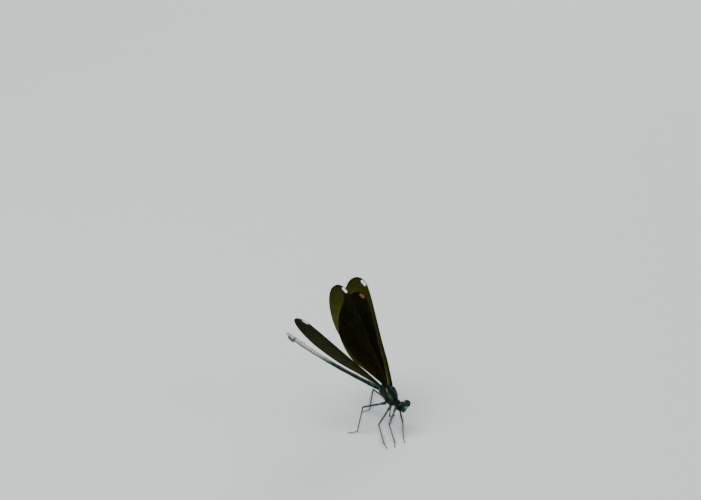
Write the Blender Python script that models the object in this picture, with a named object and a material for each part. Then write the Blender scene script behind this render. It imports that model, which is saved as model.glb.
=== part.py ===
"""A life-size female jewelwing damselfly at rest, standing on six legs, wings half open over its back.

Lengths in the constants are millimetres. Shapes are worked out in the body frame (forward, left, up, with
the middle of the thorax as origin), leaned nose down, and stood on the floor at z = 0 with +X forward.
"""

import math

import bmesh
import bpy
import numpy as np
from mathutils import Matrix, Vector

COLLECTION_NAME = "damselfly"
METRES_PER_MM = 0.001
GAP = 0.3

PITCH = math.radians(-11.5)
THORAX_HEIGHT = 10.5
CENTRE_SHIFT = Vector((14.715, 0.33, 0.0))

COLOURS = {
    "thorax": ((0.012, 0.035, 0.028), 0.28, 0.6),
    "abdomen": ((0.012, 0.028, 0.035), 0.3, 0.6),
    "abdomen_pale": ((0.32, 0.34, 0.33), 0.5, 0.0),
    "eye": ((0.02, 0.008, 0.008), 0.12, 0.0),
    "head": ((0.01, 0.05, 0.035), 0.22, 0.7),
    "leg": ((0.02, 0.03, 0.028), 0.35, 0.2),
    "wing": ((0.07, 0.055, 0.018), 0.35, 0.0),
}

# Thorax: where each slice stands on the length, its underside, its top and its half width.
THORAX_SLICES = (
    (-4.15, -0.35, 0.75, 0.55),
    (-3.80, -0.65, 1.60, 0.95),
    (-3.00, -1.20, 2.15, 1.25),
    (-2.00, -1.75, 2.35, 1.35),
    (-1.00, -2.40, 2.75, 1.50),
    (0.00, -2.85, 2.95, 1.55),
    (0.80, -2.95, 2.60, 1.45),
    (1.50, -2.80, 1.85, 1.25),
    (2.00, -2.45, 0.95, 0.98),
    (2.30, -2.05, 0.15, 0.70),
)
THORAX_SIDES = 24
THORAX_SQUARENESS = 2.4
TOP_NARROWING = 0.12

PROTHORAX_SLICES = (
    (2.10, -2.35, -0.70, 0.66),
    (2.45, -2.55, -0.35, 0.92),
    (2.85, -2.50, -0.28, 1.02),
    (3.20, -2.25, -0.45, 0.90),
    (3.40, -1.90, -0.65, 0.55),
    (3.75, -1.75, -0.70, 0.48),
)
PROTHORAX_SIDES = 16

HEAD_CENTRE = Vector((4.72, 0.0, -0.98))
HEAD_RADII = (1.12, 1.70, 1.22)
FACE_CENTRE = Vector((5.45, 0.0, -1.32))
FACE_RADII = (0.78, 1.05, 0.80)
MOUTH_CENTRE = Vector((5.25, 0.0, -2.35))
MOUTH_RADII = (0.65, 0.85, 0.70)
EYE_CENTRE = Vector((4.90, 1.66, -0.95))
EYE_RADII = (1.08, 1.02, 1.14)
HEAD_FACETS = (24, 14)
FACE_FACETS = (18, 12)
MOUTH_FACETS = (16, 10)
EYE_FACETS = (24, 14)

ANTENNA_ROOT = Vector((5.60, 0.45, -0.40))
ANTENNA_TIP = Vector((7.35, 1.40, 0.80))
ANTENNA_RADII = (0.27, 0.12)
ANTENNA_SINK = 0.6

# Abdomen: the ten segment lengths from the thorax to the tip, and the half thickness along it.
SEGMENT_LENGTHS = (1.1, 2.7, 5.3, 5.6, 5.6, 5.2, 4.2, 2.4, 1.7, 1.1)
ABDOMEN_START = -4.45
ABDOMEN_RADII = (
    (0.0, 0.62),
    (0.05, 0.66),
    (0.14, 0.60),
    (0.50, 0.58),
    (0.72, 0.62),
    (0.85, 0.70),
    (1.0, 0.55),
)
ABDOMEN_SIDES = 16
SEGMENT_STEPS = (0.0, 0.06, 0.3, 0.7, 0.94, 1.0)
SEGMENT_SWELL = 0.06
RIM_ROUNDING = 0.08
ABDOMEN_TALLNESS = 1.05
START_HEIGHT = 0.1
TIP_RISE = 0.8
RISE_POWER = 3.0
MIDDLE_SAG = 0.6
PALE_FROM = 6

CERCUS_SIDE = 0.22
CERCUS_HEIGHT = 0.12
CERCUS_LENGTH = 0.8
CERCUS_SPLAY = 0.12
CERCUS_RADII = (0.24, 0.1)
CERCUS_SIDES = 8

# Egg-laying blade under the last two segments: back from its root, top under the belly, depth, half width.
BLADE_START = 0.35
BLADE_SLICES = (
    (0.0, 0.0, 0.3, 0.2),
    (0.5, 0.0, 0.5, 0.27),
    (1.6, 0.02, 0.5, 0.25),
    (2.2, 0.05, 0.4, 0.2),
    (2.6, 0.1, 0.3, 0.14),
)
BLADE_SEGMENTS_BEFORE = 8
BLADE_SIDES = 10

# Wings: the chord ahead of and behind the span line by share of the length, before the tip is rounded off.
WING_THICKNESS = 0.5
VEIN_RISE = 0.16
VEIN_HALF_WIDTH = 0.16
ROOM_SHARE = 0.35
FOREWING_LENGTH = 33.0
HINDWING_LENGTH = 32.0
LEADING = ((0, 0.6), (0.1, 1.2), (0.2, 1.7), (0.4, 2.3), (0.6, 3.15), (0.8, 3.9), (1, 4.0))
TRAILING = ((0, 0.5), (0.1, 2.1), (0.2, 3.7), (0.4, 6.9), (0.6, 7.95), (0.8, 7.65), (1, 7.15))
LEADING_ROUND_FROM = 0.88
TRAILING_ROUND_FROM = 0.64
TIP_STUB = 0.1
VEIN_SHARES = (0.0, 0.09, 0.2, 0.36, 0.54, 0.76, 1.0)
VEIN_FAN = 0.55
WING_STATIONS = 22
TIP_CROWDING = 1.9
ROOT_SINK = 0.7
FOREWING_ROOT = Vector((-1.2, 0.90, 2.35))
HINDWING_ROOT = Vector((-3.2, 0.98, 1.7))

# Each wing: side, root, length, lift over the abdomen, spread from the middle plane and twist, in degrees.
WINGS = (
    ("forewing_left", 1, FOREWING_ROOT, FOREWING_LENGTH, 46.4, 7.3, 5.3),
    ("forewing_right", -1, FOREWING_ROOT, FOREWING_LENGTH, 43.7, 1.4, 3.0),
    ("hindwing_left", 1, HINDWING_ROOT, HINDWING_LENGTH, 26.7, 23.4, 30.3),
    ("hindwing_right", -1, HINDWING_ROOT, HINDWING_LENGTH, 32.9, 25.4, 26.5),
)

# Legs: hip in the body frame, then knee, ankle and toe on the floor plan (forward, left, up).
LEGS = (
    ("front_left", (2.9, 0.65, -2.3), (4.96, -0.72, 3.61), (7.51, -3.66, 0.45), (9.27, -5.17, 0.2)),
    ("front_right", (2.9, -0.65, -2.3), (3.52, -5.12, 3.95), (7.58, -7.68, 0.45), (9.00, -9.46, 0.2)),
    ("mid_left", (1.2, 0.95, -2.8), (-4.06, 6.03, 8.2), (-4.91, 5.47, 0.45), (-4.57, 7.37, 0.2)),
    ("mid_right", (1.2, -0.95, -2.8), (0.87, -6.65, 3.75), (5.87, -10.39, 0.45), (7.63, -11.45, 0.2)),
    ("hind_left", (-0.6, 0.95, -2.6), (-9.10, 3.1, 8.75), (-12.30, 5.55, 0.45), (-13.4, 4.0, 0.2)),
    ("hind_right", (-0.6, -0.95, -2.6), (-4.60, -7.18, 7.94), (-5.51, -8.58, 0.45), (-7.09, -10.3, 0.2)),
)
COXA_LENGTH = 1.9
COXA_RADII = (0.62, 0.4)
FEMUR_RADII = (0.38, 0.28)
TIBIA_RADII = (0.26, 0.24)
TARSUS_RADII = (0.24, 0.2)
LEG_SIDES = 8
MITRE_OVERLAP = 2.0

CLAW_LENGTH = 0.75
CLAW_SPLAY = 0.45
CLAW_RADII = (0.15, 0.04)
CLAW_SIDES = 5
CLAW_SINK = 0.25

SPINE_LENGTH = 1.3
SPINE_RADII = (0.2, 0.03)
SPINE_SIDES = 5
SPINE_LEAN = math.radians(55)
SPINE_PITCH = 1.15
SPINE_MARGIN = 0.9
SPINE_SPREAD = math.radians(75)
SPINE_STAGGER = 0.3
SPINE_END_SHARE = 0.7
UPRIGHT_BELOW = 0.2
FLOOR_CLEARANCE = 0.3
SMOOTH_BELOW = math.radians(35)

collection = None


def clear_scene():
    """Empties the scene."""
    for scene_object in list(bpy.data.objects):
        bpy.data.objects.remove(scene_object, do_unlink=True)


def material(slot):
    """The Principled material of one colour slot, made on first use."""
    found = bpy.data.materials.get(slot)
    if found:
        return found
    colour, roughness, metallic = COLOURS[slot]
    made = bpy.data.materials.new(slot)
    made.use_nodes = True
    shader = made.node_tree.nodes["Principled BSDF"]
    shader.inputs["Base Color"].default_value = (*colour, 1.0)
    shader.inputs["Roughness"].default_value = roughness
    shader.inputs["Metallic"].default_value = metallic
    return made


def object_from_bmesh(name, mesh_data):
    """Links a bmesh as an object of its own."""
    bmesh.ops.recalc_face_normals(mesh_data, faces=mesh_data.faces)
    mesh = bpy.data.meshes.new(name)
    mesh_data.to_mesh(mesh)
    mesh_data.free()
    made = bpy.data.objects.new(name, mesh)
    collection.objects.link(made)
    return made


def loft(name, rings):
    """A closed body through rings of points, with flat ends."""
    mesh_data = bmesh.new()
    rows = [[mesh_data.verts.new(point) for point in ring] for ring in rings]
    sides = len(rows[0])
    for near, far in zip(rows, rows[1:]):
        for k in range(sides):
            following = (k + 1) % sides
            mesh_data.faces.new((near[k], near[following], far[following], far[k]))
    mesh_data.faces.new(rows[0])
    mesh_data.faces.new(rows[-1])
    bmesh.ops.triangulate(mesh_data, faces=[f for f in mesh_data.faces if len(f.verts) > 4])
    return object_from_bmesh(name, mesh_data)


def ellipsoid(name, centre, radii, facets):
    """A sphere stretched to three radii, with its facets round and from pole to pole."""
    segments, rings = facets
    mesh_data = bmesh.new()
    bmesh.ops.create_uvsphere(mesh_data, u_segments=segments, v_segments=rings, radius=1.0)
    bmesh.ops.transform(
        mesh_data,
        matrix=Matrix.Translation(centre) @ Matrix.Diagonal((*radii, 1.0)),
        verts=mesh_data.verts,
    )
    return object_from_bmesh(name, mesh_data)


def cone(name, start, end, radius_start, radius_end, sides):
    """A tapered rod from one point to another."""
    axis = Vector(end) - Vector(start)
    mesh_data = bmesh.new()
    bmesh.ops.create_cone(
        mesh_data,
        cap_ends=True,
        segments=sides,
        radius1=radius_start,
        radius2=radius_end,
        depth=axis.length,
    )
    turn = axis.to_track_quat("Z", "Y").to_matrix().to_4x4()
    middle = (Vector(start) + Vector(end)) / 2
    bmesh.ops.transform(mesh_data, matrix=Matrix.Translation(middle) @ turn, verts=mesh_data.verts)
    return object_from_bmesh(name, mesh_data)


def apply_modifiers(target):
    """Puts the evaluated mesh in place of the object's own."""
    graph = bpy.context.evaluated_depsgraph_get()
    mesh = bpy.data.meshes.new_from_object(target.evaluated_get(graph))
    target.modifiers.clear()
    target.data = mesh


def keep_largest_surface(target):
    """Leaves only the largest closed surface of a mesh."""
    mesh_data = bmesh.new()
    mesh_data.from_mesh(target.data)
    unseen = set(mesh_data.verts)
    shells = []
    while unseen:
        shell = {unseen.pop()}
        edge_of_shell = list(shell)
        while edge_of_shell:
            vertex = edge_of_shell.pop()
            for edge in vertex.link_edges:
                other = edge.other_vert(vertex)
                if other in unseen:
                    unseen.discard(other)
                    shell.add(other)
                    edge_of_shell.append(other)
        shells.append(shell)
    largest = max(shells, key=len)
    loose = [vertex for vertex in mesh_data.verts if vertex not in largest]
    bmesh.ops.delete(mesh_data, geom=loose, context="VERTS")
    mesh_data.to_mesh(target.data)
    mesh_data.free()


def fuse(target, pieces):
    """Joins the pieces to the target in one Boolean union on a collection."""
    if not pieces:
        return target
    gathered = bpy.data.collections.new("gathered")
    bpy.context.scene.collection.children.link(gathered)
    for piece in pieces:
        collection.objects.unlink(piece)
        gathered.objects.link(piece)
    union = target.modifiers.new("union", "BOOLEAN")
    union.operation = "UNION"
    union.operand_type = "COLLECTION"
    union.collection = gathered
    union.solver = "MANIFOLD"
    apply_modifiers(target)
    for piece in pieces:
        bpy.data.objects.remove(piece, do_unlink=True)
    bpy.data.collections.remove(gathered)
    keep_largest_surface(target)
    return target


def cut(target, cutters):
    """Takes the cutters away from the target."""
    for cutter in cutters:
        difference = target.modifiers.new("difference", "BOOLEAN")
        difference.operation = "DIFFERENCE"
        difference.object = cutter
        difference.solver = "MANIFOLD"
        apply_modifiers(target)
        bpy.data.objects.remove(cutter, do_unlink=True)
    keep_largest_surface(target)
    return target


def trim(target, point, normal):
    """Cuts away what lies beyond a plane and closes the cut."""
    mesh_data = bmesh.new()
    mesh_data.from_mesh(target.data)
    geometry = mesh_data.verts[:] + mesh_data.edges[:] + mesh_data.faces[:]
    result = bmesh.ops.bisect_plane(
        mesh_data, geom=geometry, plane_co=point, plane_no=normal, clear_outer=True
    )
    rim = [item for item in result["geom_cut"] if isinstance(item, bmesh.types.BMEdge)]
    bmesh.ops.edgenet_fill(mesh_data, edges=rim)
    bmesh.ops.triangulate(mesh_data, faces=[f for f in mesh_data.faces if len(f.verts) > 4])
    bmesh.ops.recalc_face_normals(mesh_data, faces=mesh_data.faces)
    mesh_data.to_mesh(target.data)
    mesh_data.free()


def rounded(value, squareness):
    """A sine or cosine pushed out towards a box as the squareness passes two."""
    return math.copysign(abs(value) ** (2 / squareness), value)


def ring(x, low, high, half_width, sides, grow=0.0, squareness=2.0):
    """One oval slice across the body, a little narrower above than below."""
    middle = (low + high) / 2
    half_height = (high - low) / 2 + grow
    points = []
    for k in range(sides):
        angle = 2 * math.pi * k / sides
        across = rounded(math.cos(angle), squareness)
        up = rounded(math.sin(angle), squareness)
        width = (half_width + grow) * (1 - TOP_NARROWING * up)
        points.append((x, width * across, middle + half_height * up))
    return points


def sliced_body(name, slices, sides, grow=0.0, squareness=2.0):
    """A loft through oval slices, grown outwards by a margin for clearances."""
    rings = [ring(x, low, high, width, sides, grow, squareness) for x, low, high, width in slices]
    if grow:
        first, last = slices[0], slices[-1]
        rings.insert(0, ring(first[0] - grow, *first[1:], sides, 0.0, squareness))
        rings.append(ring(last[0] + grow, *last[1:], sides, 0.0, squareness))
    return loft(name, rings)


def lean():
    """The matrix from the body frame to the floor's, nose down and thorax at its height."""
    return Matrix.Translation((0, 0, THORAX_HEIGHT)) @ Matrix.Rotation(-PITCH, 4, "Y")


def interpolate(share, stations):
    """A value read off a short list of (share, value) stations, along a smooth curve through them."""
    shares = np.array([station[0] for station in stations], dtype=float)
    values = np.array([station[1] for station in stations], dtype=float)
    slopes = np.gradient(values, shares)
    k = int(np.clip(np.searchsorted(shares, share) - 1, 0, len(shares) - 2))
    width = shares[k + 1] - shares[k]
    u = (share - shares[k]) / width
    start = values[k] * (1 + 2 * u) * (1 - u) ** 2 + slopes[k] * width * u * (1 - u) ** 2
    end = values[k + 1] * u * u * (3 - 2 * u) + slopes[k + 1] * width * u * u * (u - 1)
    return float(start + end)


def abdomen_height(x):
    """Height of the abdomen's centre line, sagging slightly at first and rising towards the tip."""
    share = (ABDOMEN_START - x) / sum(SEGMENT_LENGTHS)
    fall = START_HEIGHT * (1 - share) ** 2 - MIDDLE_SAG * math.sin(math.pi * share)
    return fall + TIP_RISE * share**RISE_POWER


def make_abdomen():
    """Ten segments in a row, each swelling a little to its rims, with a gap between neighbours."""
    total = sum(SEGMENT_LENGTHS)
    start = 0.0
    parts = []
    for number, length in enumerate(SEGMENT_LENGTHS, start=1):
        rings = []
        for step in SEGMENT_STEPS:
            along = start + GAP / 2 + step * (length - GAP)
            x = ABDOMEN_START - along
            radius = interpolate(along / total, ABDOMEN_RADII)
            radius += SEGMENT_SWELL * (abs(step - 0.5) * 2) ** 3
            if step in (0.0, 1.0):
                radius -= RIM_ROUNDING
            height = abdomen_height(x)
            tall = radius * ABDOMEN_TALLNESS
            rings.append(ring(x, height - tall, height + tall, radius, ABDOMEN_SIDES))
        part = loft(f"abdomen_{number}", rings)
        parts.append((part, "abdomen_pale" if number >= PALE_FROM else "abdomen"))
        start += length
    return parts


def make_tail():
    """Two short claspers behind the last segment and the egg-laying blade below it."""
    end = ABDOMEN_START - sum(SEGMENT_LENGTHS) - GAP / 2
    height = abdomen_height(end) + CERCUS_HEIGHT
    parts = []
    for side, name in ((1, "cercus_left"), (-1, "cercus_right")):
        root = Vector((end, side * CERCUS_SIDE, height))
        tip = root + Vector((-CERCUS_LENGTH, side * CERCUS_SPLAY, CERCUS_SPLAY))
        parts.append((cone(name, root, tip, *CERCUS_RADII, CERCUS_SIDES), "abdomen_pale"))
    blade_start = ABDOMEN_START - sum(SEGMENT_LENGTHS[:BLADE_SEGMENTS_BEFORE]) - BLADE_START
    rings = []
    for back, lift, depth, half_width in BLADE_SLICES:
        x = blade_start - back
        share = min((ABDOMEN_START - x) / sum(SEGMENT_LENGTHS), 1.0)
        belly = abdomen_height(x) - (interpolate(share, ABDOMEN_RADII) + SEGMENT_SWELL) * ABDOMEN_TALLNESS
        top = belly - GAP + lift
        rings.append(ring(x, top - depth, top, half_width, BLADE_SIDES))
    parts.append((loft("ovipositor", rings), "abdomen"))
    return parts


def make_thorax():
    """The large wing-bearing thorax."""
    return sliced_body("pterothorax", THORAX_SLICES, THORAX_SIDES, 0.0, THORAX_SQUARENESS)


def thorax_clearance():
    """The thorax with the gap added, to cut what grows from it."""
    return sliced_body("thorax_clearance", THORAX_SLICES, THORAX_SIDES, GAP, THORAX_SQUARENESS)


def make_prothorax():
    """The small first thorax ring with its neck."""
    body = sliced_body("prothorax", PROTHORAX_SLICES, PROTHORAX_SIDES)
    return cut(body, [thorax_clearance(), head_solid("head_clearance", GAP)])


def head_solid(name, grow=0.0):
    """The dumb-bell head between the eyes with its swollen face."""
    body = ellipsoid(name, HEAD_CENTRE, [r + grow for r in HEAD_RADII], HEAD_FACETS)
    face = ellipsoid("face", FACE_CENTRE, [r + grow for r in FACE_RADII], FACE_FACETS)
    return fuse(body, [face])


def eye_solid(name, side, grow=0.0):
    """One bulging eye."""
    centre = Vector((EYE_CENTRE.x, side * EYE_CENTRE.y, EYE_CENTRE.z))
    return ellipsoid(name, centre, [r + grow for r in EYE_RADII], EYE_FACETS)


def antenna_line(side):
    """Root and tip of one feeler."""
    root = Vector((ANTENNA_ROOT.x, side * ANTENNA_ROOT.y, ANTENNA_ROOT.z))
    tip = Vector((ANTENNA_TIP.x, side * ANTENNA_TIP.y, ANTENNA_TIP.z))
    return root, tip


def make_head():
    """Head, both eyes, both feelers and the mouthparts, each clear of the next."""
    head = head_solid("head")
    cut(head, [eye_solid("socket_left", 1, GAP), eye_solid("socket_right", -1, GAP)])
    mouth = ellipsoid("mouthparts", MOUTH_CENTRE, MOUTH_RADII, MOUTH_FACETS)
    cut(mouth, [head_solid("head_clearance", GAP)])
    parts = [(head, "head"), (mouth, "head")]
    for side, label in ((1, "left"), (-1, "right")):
        parts.append((eye_solid(f"eye_{label}", side), "eye"))
        root, tip = antenna_line(side)
        inner = root - (tip - root).normalized() * ANTENNA_SINK
        feeler = cone(f"antenna_{label}", inner, tip, *ANTENNA_RADII, LEG_SIDES)
        cut(feeler, [head_solid("head_clearance", GAP)])
        parts.append((feeler, "leg"))
    return parts


def wing_axes(side, lift, spread, twist):
    """Span, chord (towards the leading edge) and outward directions of one wing, in the body frame."""
    lift, spread, twist = (math.radians(angle) for angle in (lift, spread, twist))
    up_and_back = Vector((-math.cos(lift), 0, math.sin(lift)))
    sideways = Vector((0, side, 0))
    span = math.cos(spread) * up_and_back + math.sin(spread) * sideways
    flat_chord = Vector((math.sin(lift), 0, math.cos(lift)))
    outward = math.cos(spread) * sideways - math.sin(spread) * up_and_back
    chord = math.cos(twist) * flat_chord + math.sin(twist) * outward
    return span, chord, span.cross(chord).normalized()


def vein_share(share, along):
    """Place of a vein on the chord: crowded to the front near the root and fanned out towards the tip."""
    return share ** (1 + VEIN_FAN * (1 - along))


def wing_columns(along, chord_length):
    """Chord shares and heights of the ridge lines at one station."""
    middles = [vein_share(share, along) for share in VEIN_SHARES]
    room = min(b - a for a, b in zip(middles, middles[1:]))
    half = min(VEIN_HALF_WIDTH / chord_length, ROOM_SHARE * room)
    columns = [(0.0, VEIN_RISE), (half, 0.0)]
    for middle in middles[1:-1]:
        columns += [(middle - half, 0.0), (middle, VEIN_RISE), (middle + half, 0.0)]
    columns.append((1.0, 0.0))
    return columns


def half_chord(along, stations, round_from):
    """Chord on one side of the span line, closed off by a quarter ellipse at the tip."""
    chord = interpolate(along, stations)
    if along > round_from:
        share = (along - round_from) / (1 - round_from)
        chord *= math.sqrt(max(1 - share**2, 0.0))
    return max(chord, TIP_STUB)


def make_wing(name, side, root, length, lift, spread, twist):
    """One wing blade, sunk into the thorax for the cut, with its main veins raised in both faces."""
    span, chord, normal = wing_axes(side, lift, spread, twist)
    origin = Vector((root.x, side * root.y, root.z))
    steps = np.linspace(0, 1, WING_STATIONS)
    stations = [-ROOT_SINK / length] + list(1 - (1 - steps) ** TIP_CROWDING)
    rings = []
    for along in stations:
        outer = max(along, 0.0)
        ahead = half_chord(outer, LEADING, LEADING_ROUND_FROM)
        behind = half_chord(outer, TRAILING, TRAILING_ROUND_FROM)
        upper, lower = [], []
        for share, rise in wing_columns(outer, ahead + behind):
            across = ahead - share * (ahead + behind)
            spot = origin + span * (along * length) + chord * across
            half = WING_THICKNESS / 2 + rise
            upper.append(spot + normal * half)
            lower.append(spot - normal * half)
        rings.append((upper, lower))
    return wing_mesh(name, rings)


def wing_mesh(name, rings):
    """Faces of a blade, split into triangles alike on both sides."""
    mesh_data = bmesh.new()
    uppers = [[mesh_data.verts.new(point) for point in upper] for upper, lower in rings]
    lowers = [[mesh_data.verts.new(point) for point in lower] for upper, lower in rings]
    columns = len(uppers[0])
    for row in range(len(rings) - 1):
        for k in range(columns - 1):
            for sheet in (uppers, lowers):
                a, b = sheet[row][k], sheet[row][k + 1]
                c, d = sheet[row + 1][k + 1], sheet[row + 1][k]
                mesh_data.faces.new((a, b, c))
                mesh_data.faces.new((a, c, d))
        for k in (0, columns - 1):
            mesh_data.faces.new((uppers[row][k], uppers[row + 1][k], lowers[row + 1][k], lowers[row][k]))
    for row in (0, len(rings) - 1):
        for k in range(columns - 1):
            mesh_data.faces.new((uppers[row][k], uppers[row][k + 1], lowers[row][k + 1], lowers[row][k]))
    return object_from_bmesh(name, mesh_data)


def make_wings():
    """Four wings, each cut clear of the thorax that carries it."""
    parts = []
    for name, *shape in WINGS:
        wing = make_wing(name, *shape)
        cut(wing, [thorax_clearance()])
        parts.append((wing, "wing"))
    return parts


def mitre(before, joint, after):
    """Direction across which the two neighbours of a joint are parted."""
    incoming = (joint - before).normalized()
    outgoing = (after - joint).normalized()
    return (incoming + outgoing).normalized()


def spine_rows(name, start, end, radius):
    """Two rows of slender spines on the underside that lean towards the leg's end."""
    axis = (end - start).normalized()
    length = (end - start).length
    across = axis.cross(Vector((0, 0, 1)))
    if across.length < UPRIGHT_BELOW:
        across = axis.cross(Vector((1, 0, 0)))
    across.normalize()
    below = axis.cross(across).normalized()
    if below.z > 0:
        below = -below
    count = int((length - 2 * SPINE_MARGIN) / SPINE_PITCH) + 1
    spines = []
    for row in (-1, 1):
        outward = below * math.cos(SPINE_SPREAD) + across * (row * math.sin(SPINE_SPREAD))
        direction = outward * math.sin(SPINE_LEAN) + axis * math.cos(SPINE_LEAN)
        for k in range(count):
            along = SPINE_MARGIN + (k + SPINE_STAGGER * (row > 0)) * SPINE_PITCH
            root = start + axis * along
            tip = root + direction * (SPINE_LENGTH + radius)
            if along < length - SPINE_MARGIN * SPINE_END_SHARE and tip.z > FLOOR_CLEARANCE:
                spines.append(cone(f"{name}_spine", root, tip, *SPINE_RADII, SPINE_SIDES))
    return spines


def leg_segment(name, start, end, radii, mitre_start, mitre_end):
    """One rod of a leg between two mitred ends."""
    axis = (end - start).normalized()
    over = radii[0] * MITRE_OVERLAP
    rod_start = start - axis * (over if mitre_start is not None else 0)
    rod_end = end + axis * (over if mitre_end is not None else 0)
    rod = cone(name, rod_start, rod_end, *radii, LEG_SIDES)
    if mitre_start is not None:
        trim(rod, start + axis * (GAP / 2), -mitre_start)
    if mitre_end is not None:
        trim(rod, end - axis * (GAP / 2), mitre_end)
    return rod


def claws(name, ankle, toe):
    """The pair of claws that splay from the toe along the floor."""
    axis = (toe - ankle).normalized()
    across = axis.cross(Vector((0, 0, 1))).normalized()
    root = toe - axis * CLAW_SINK
    pair = []
    for side in (-1, 1):
        tip = root + (axis + across * (side * CLAW_SPLAY)) * CLAW_LENGTH
        tip.z = CLAW_RADII[1]
        pair.append(cone(f"{name}_claw", root, tip, *CLAW_RADII, CLAW_SIDES))
    return pair


def body_clearances():
    """The two thorax parts grown by the gap, leaned as the body stands."""
    cutters = [thorax_clearance()]
    cutters.append(sliced_body("prothorax_clearance", PROTHORAX_SLICES, PROTHORAX_SIDES, GAP))
    for cutter in cutters:
        cutter.data.transform(lean())
    return cutters


def make_leg(label, hip, knee, ankle, toe):
    """Femur with its coxa, tibia and clawed foot of one leg, in the floor's frame."""
    hip = lean() @ Vector(hip)
    knee, ankle, toe = Vector(knee), Vector(ankle), Vector(toe)
    at_knee = mitre(hip, knee, ankle)
    at_ankle = mitre(knee, ankle, toe)
    femur = leg_segment(f"femur_{label}", hip, knee, FEMUR_RADII, None, at_knee)
    coxa = cone("coxa", hip, hip + (knee - hip).normalized() * COXA_LENGTH, *COXA_RADII, LEG_SIDES)
    fuse(femur, [coxa] + spine_rows("femur", hip, knee, FEMUR_RADII[0]))
    cut(femur, body_clearances())
    tibia = leg_segment(f"tibia_{label}", knee, ankle, TIBIA_RADII, at_knee, at_ankle)
    fuse(tibia, spine_rows("tibia", knee, ankle, TIBIA_RADII[0]))
    tarsus = leg_segment(f"tarsus_{label}", ankle, toe, TARSUS_RADII, at_ankle, None)
    fuse(tarsus, claws("tarsus", ankle, toe))
    for part in (tarsus, tibia):
        trim(part, Vector((0, 0, 0)), Vector((0, 0, -1)))
    return [(femur, "leg"), (tibia, "leg"), (tarsus, "leg")]


def finish(part, slot, leaned):
    """Stands a part on the floor, in metres, with its material and smooth shading."""
    place = Matrix.Translation(CENTRE_SHIFT)
    if leaned:
        place = place @ lean()
    part.data.transform(Matrix.Scale(METRES_PER_MM, 4) @ place)
    part.data.materials.clear()
    part.data.materials.append(material(slot))
    part.data.shade_smooth()
    part.data.set_sharp_from_angle(angle=SMOOTH_BELOW)


def main():
    """Models the body parts, stands them up with the legs, and finishes each."""
    global collection
    clear_scene()
    collection = bpy.data.collections.new(COLLECTION_NAME)
    bpy.context.scene.collection.children.link(collection)
    in_body_frame = [(make_thorax(), "thorax"), (make_prothorax(), "thorax")]
    in_body_frame += make_head() + make_abdomen() + make_tail() + make_wings()
    for part, slot in in_body_frame:
        finish(part, slot, True)
    for leg in LEGS:
        for part, slot in make_leg(*leg):
            finish(part, slot, False)


main()
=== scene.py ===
# %% [markdown]
# A life-size female jewelwing damselfly, as a museum would show it.
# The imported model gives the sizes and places, and this script dresses it: each hard stand-in is replaced
# by a finished skin that follows the same slices, and nothing is moved or resized.
# Lengths below are millimetres until a mesh is written, where they become metres.

import math

import bpy
import numpy as np
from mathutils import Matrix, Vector


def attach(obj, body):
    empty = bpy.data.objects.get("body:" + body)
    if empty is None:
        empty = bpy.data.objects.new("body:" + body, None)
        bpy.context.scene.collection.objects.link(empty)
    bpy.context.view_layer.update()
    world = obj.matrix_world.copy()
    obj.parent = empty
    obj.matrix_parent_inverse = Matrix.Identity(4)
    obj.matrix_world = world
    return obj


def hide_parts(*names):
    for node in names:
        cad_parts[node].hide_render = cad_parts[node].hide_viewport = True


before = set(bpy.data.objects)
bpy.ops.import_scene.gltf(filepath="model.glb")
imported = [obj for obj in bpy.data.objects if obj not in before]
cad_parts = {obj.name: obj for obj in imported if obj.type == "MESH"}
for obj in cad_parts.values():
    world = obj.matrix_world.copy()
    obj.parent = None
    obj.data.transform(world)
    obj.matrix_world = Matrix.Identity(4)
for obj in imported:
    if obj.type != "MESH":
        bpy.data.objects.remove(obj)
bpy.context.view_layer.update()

# %% [markdown]
# The body is worked out lying level, with the middle of the thorax as origin, then leaned nose down
# and lifted to the height at which the feet reach the floor.
# One helper does that for every body piece, so the whole insect leans as one.

# %% From the level body to the floor
METRES_PER_MM = 0.001
NOSE_DOWN = math.radians(11.5)
THORAX_HEIGHT = 10.5
CENTRE_SHIFT = np.array([14.715, 0.33, 0.0])
SIDES = {"left": 1, "right": -1}


def stand(points):
    """Turns points nose down about the left-right axis, then lifts and shifts them to the floor frame."""
    x, y, z = np.moveaxis(np.asarray(points, dtype=float), -1, 0)
    forward = x * math.cos(NOSE_DOWN) + z * math.sin(NOSE_DOWN)
    up = z * math.cos(NOSE_DOWN) - x * math.sin(NOSE_DOWN) + THORAX_HEIGHT
    return np.stack([forward, y, up], axis=-1) + CENTRE_SHIFT


def mirrored(place, side):
    """A place on the level body, or its mirror image when the side is minus one."""
    return place * np.array([1, side, 1])


print("thorax middle on the floor plan, mm:", stand([0, 0, 0]).round(2))

# %% [markdown]
# The camera stands where the photographer stood: in front of the insect and to one side, looking down on it.
# It is placed on the line of sight to the thorax, and then aimed at a point above, because in the picture the
# insect stands low in the frame. A long lens keeps the wings and the far legs in their true proportions.

# %% Camera
CAMERA_YAW = math.radians(38.5)
CAMERA_DROP = math.radians(24.0)
CAMERA_DISTANCE = 1120.0
VIEW_WIDTH = 202.02
SENSOR_WIDTH = 36.0
AIM_ASIDE = -11.816
AIM_ABOVE = 41.79
NEAREST_SEEN, FURTHEST_SEEN = 0.01, 20.0


def show(name, data):
    """Puts a mesh, a lamp or a camera into the scene, at the origin."""
    thing = bpy.data.objects.new(name, data)
    bpy.context.scene.collection.objects.link(thing)
    return thing


def place_facing(thing, place, target):
    """Moves a lamp or camera to a place in metres, and turns it to face a target."""
    thing.location = place
    thing.rotation_mode = "QUATERNION"
    thing.rotation_quaternion = Vector(np.subtract(target, place)).to_track_quat("-Z", "Y")


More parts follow.
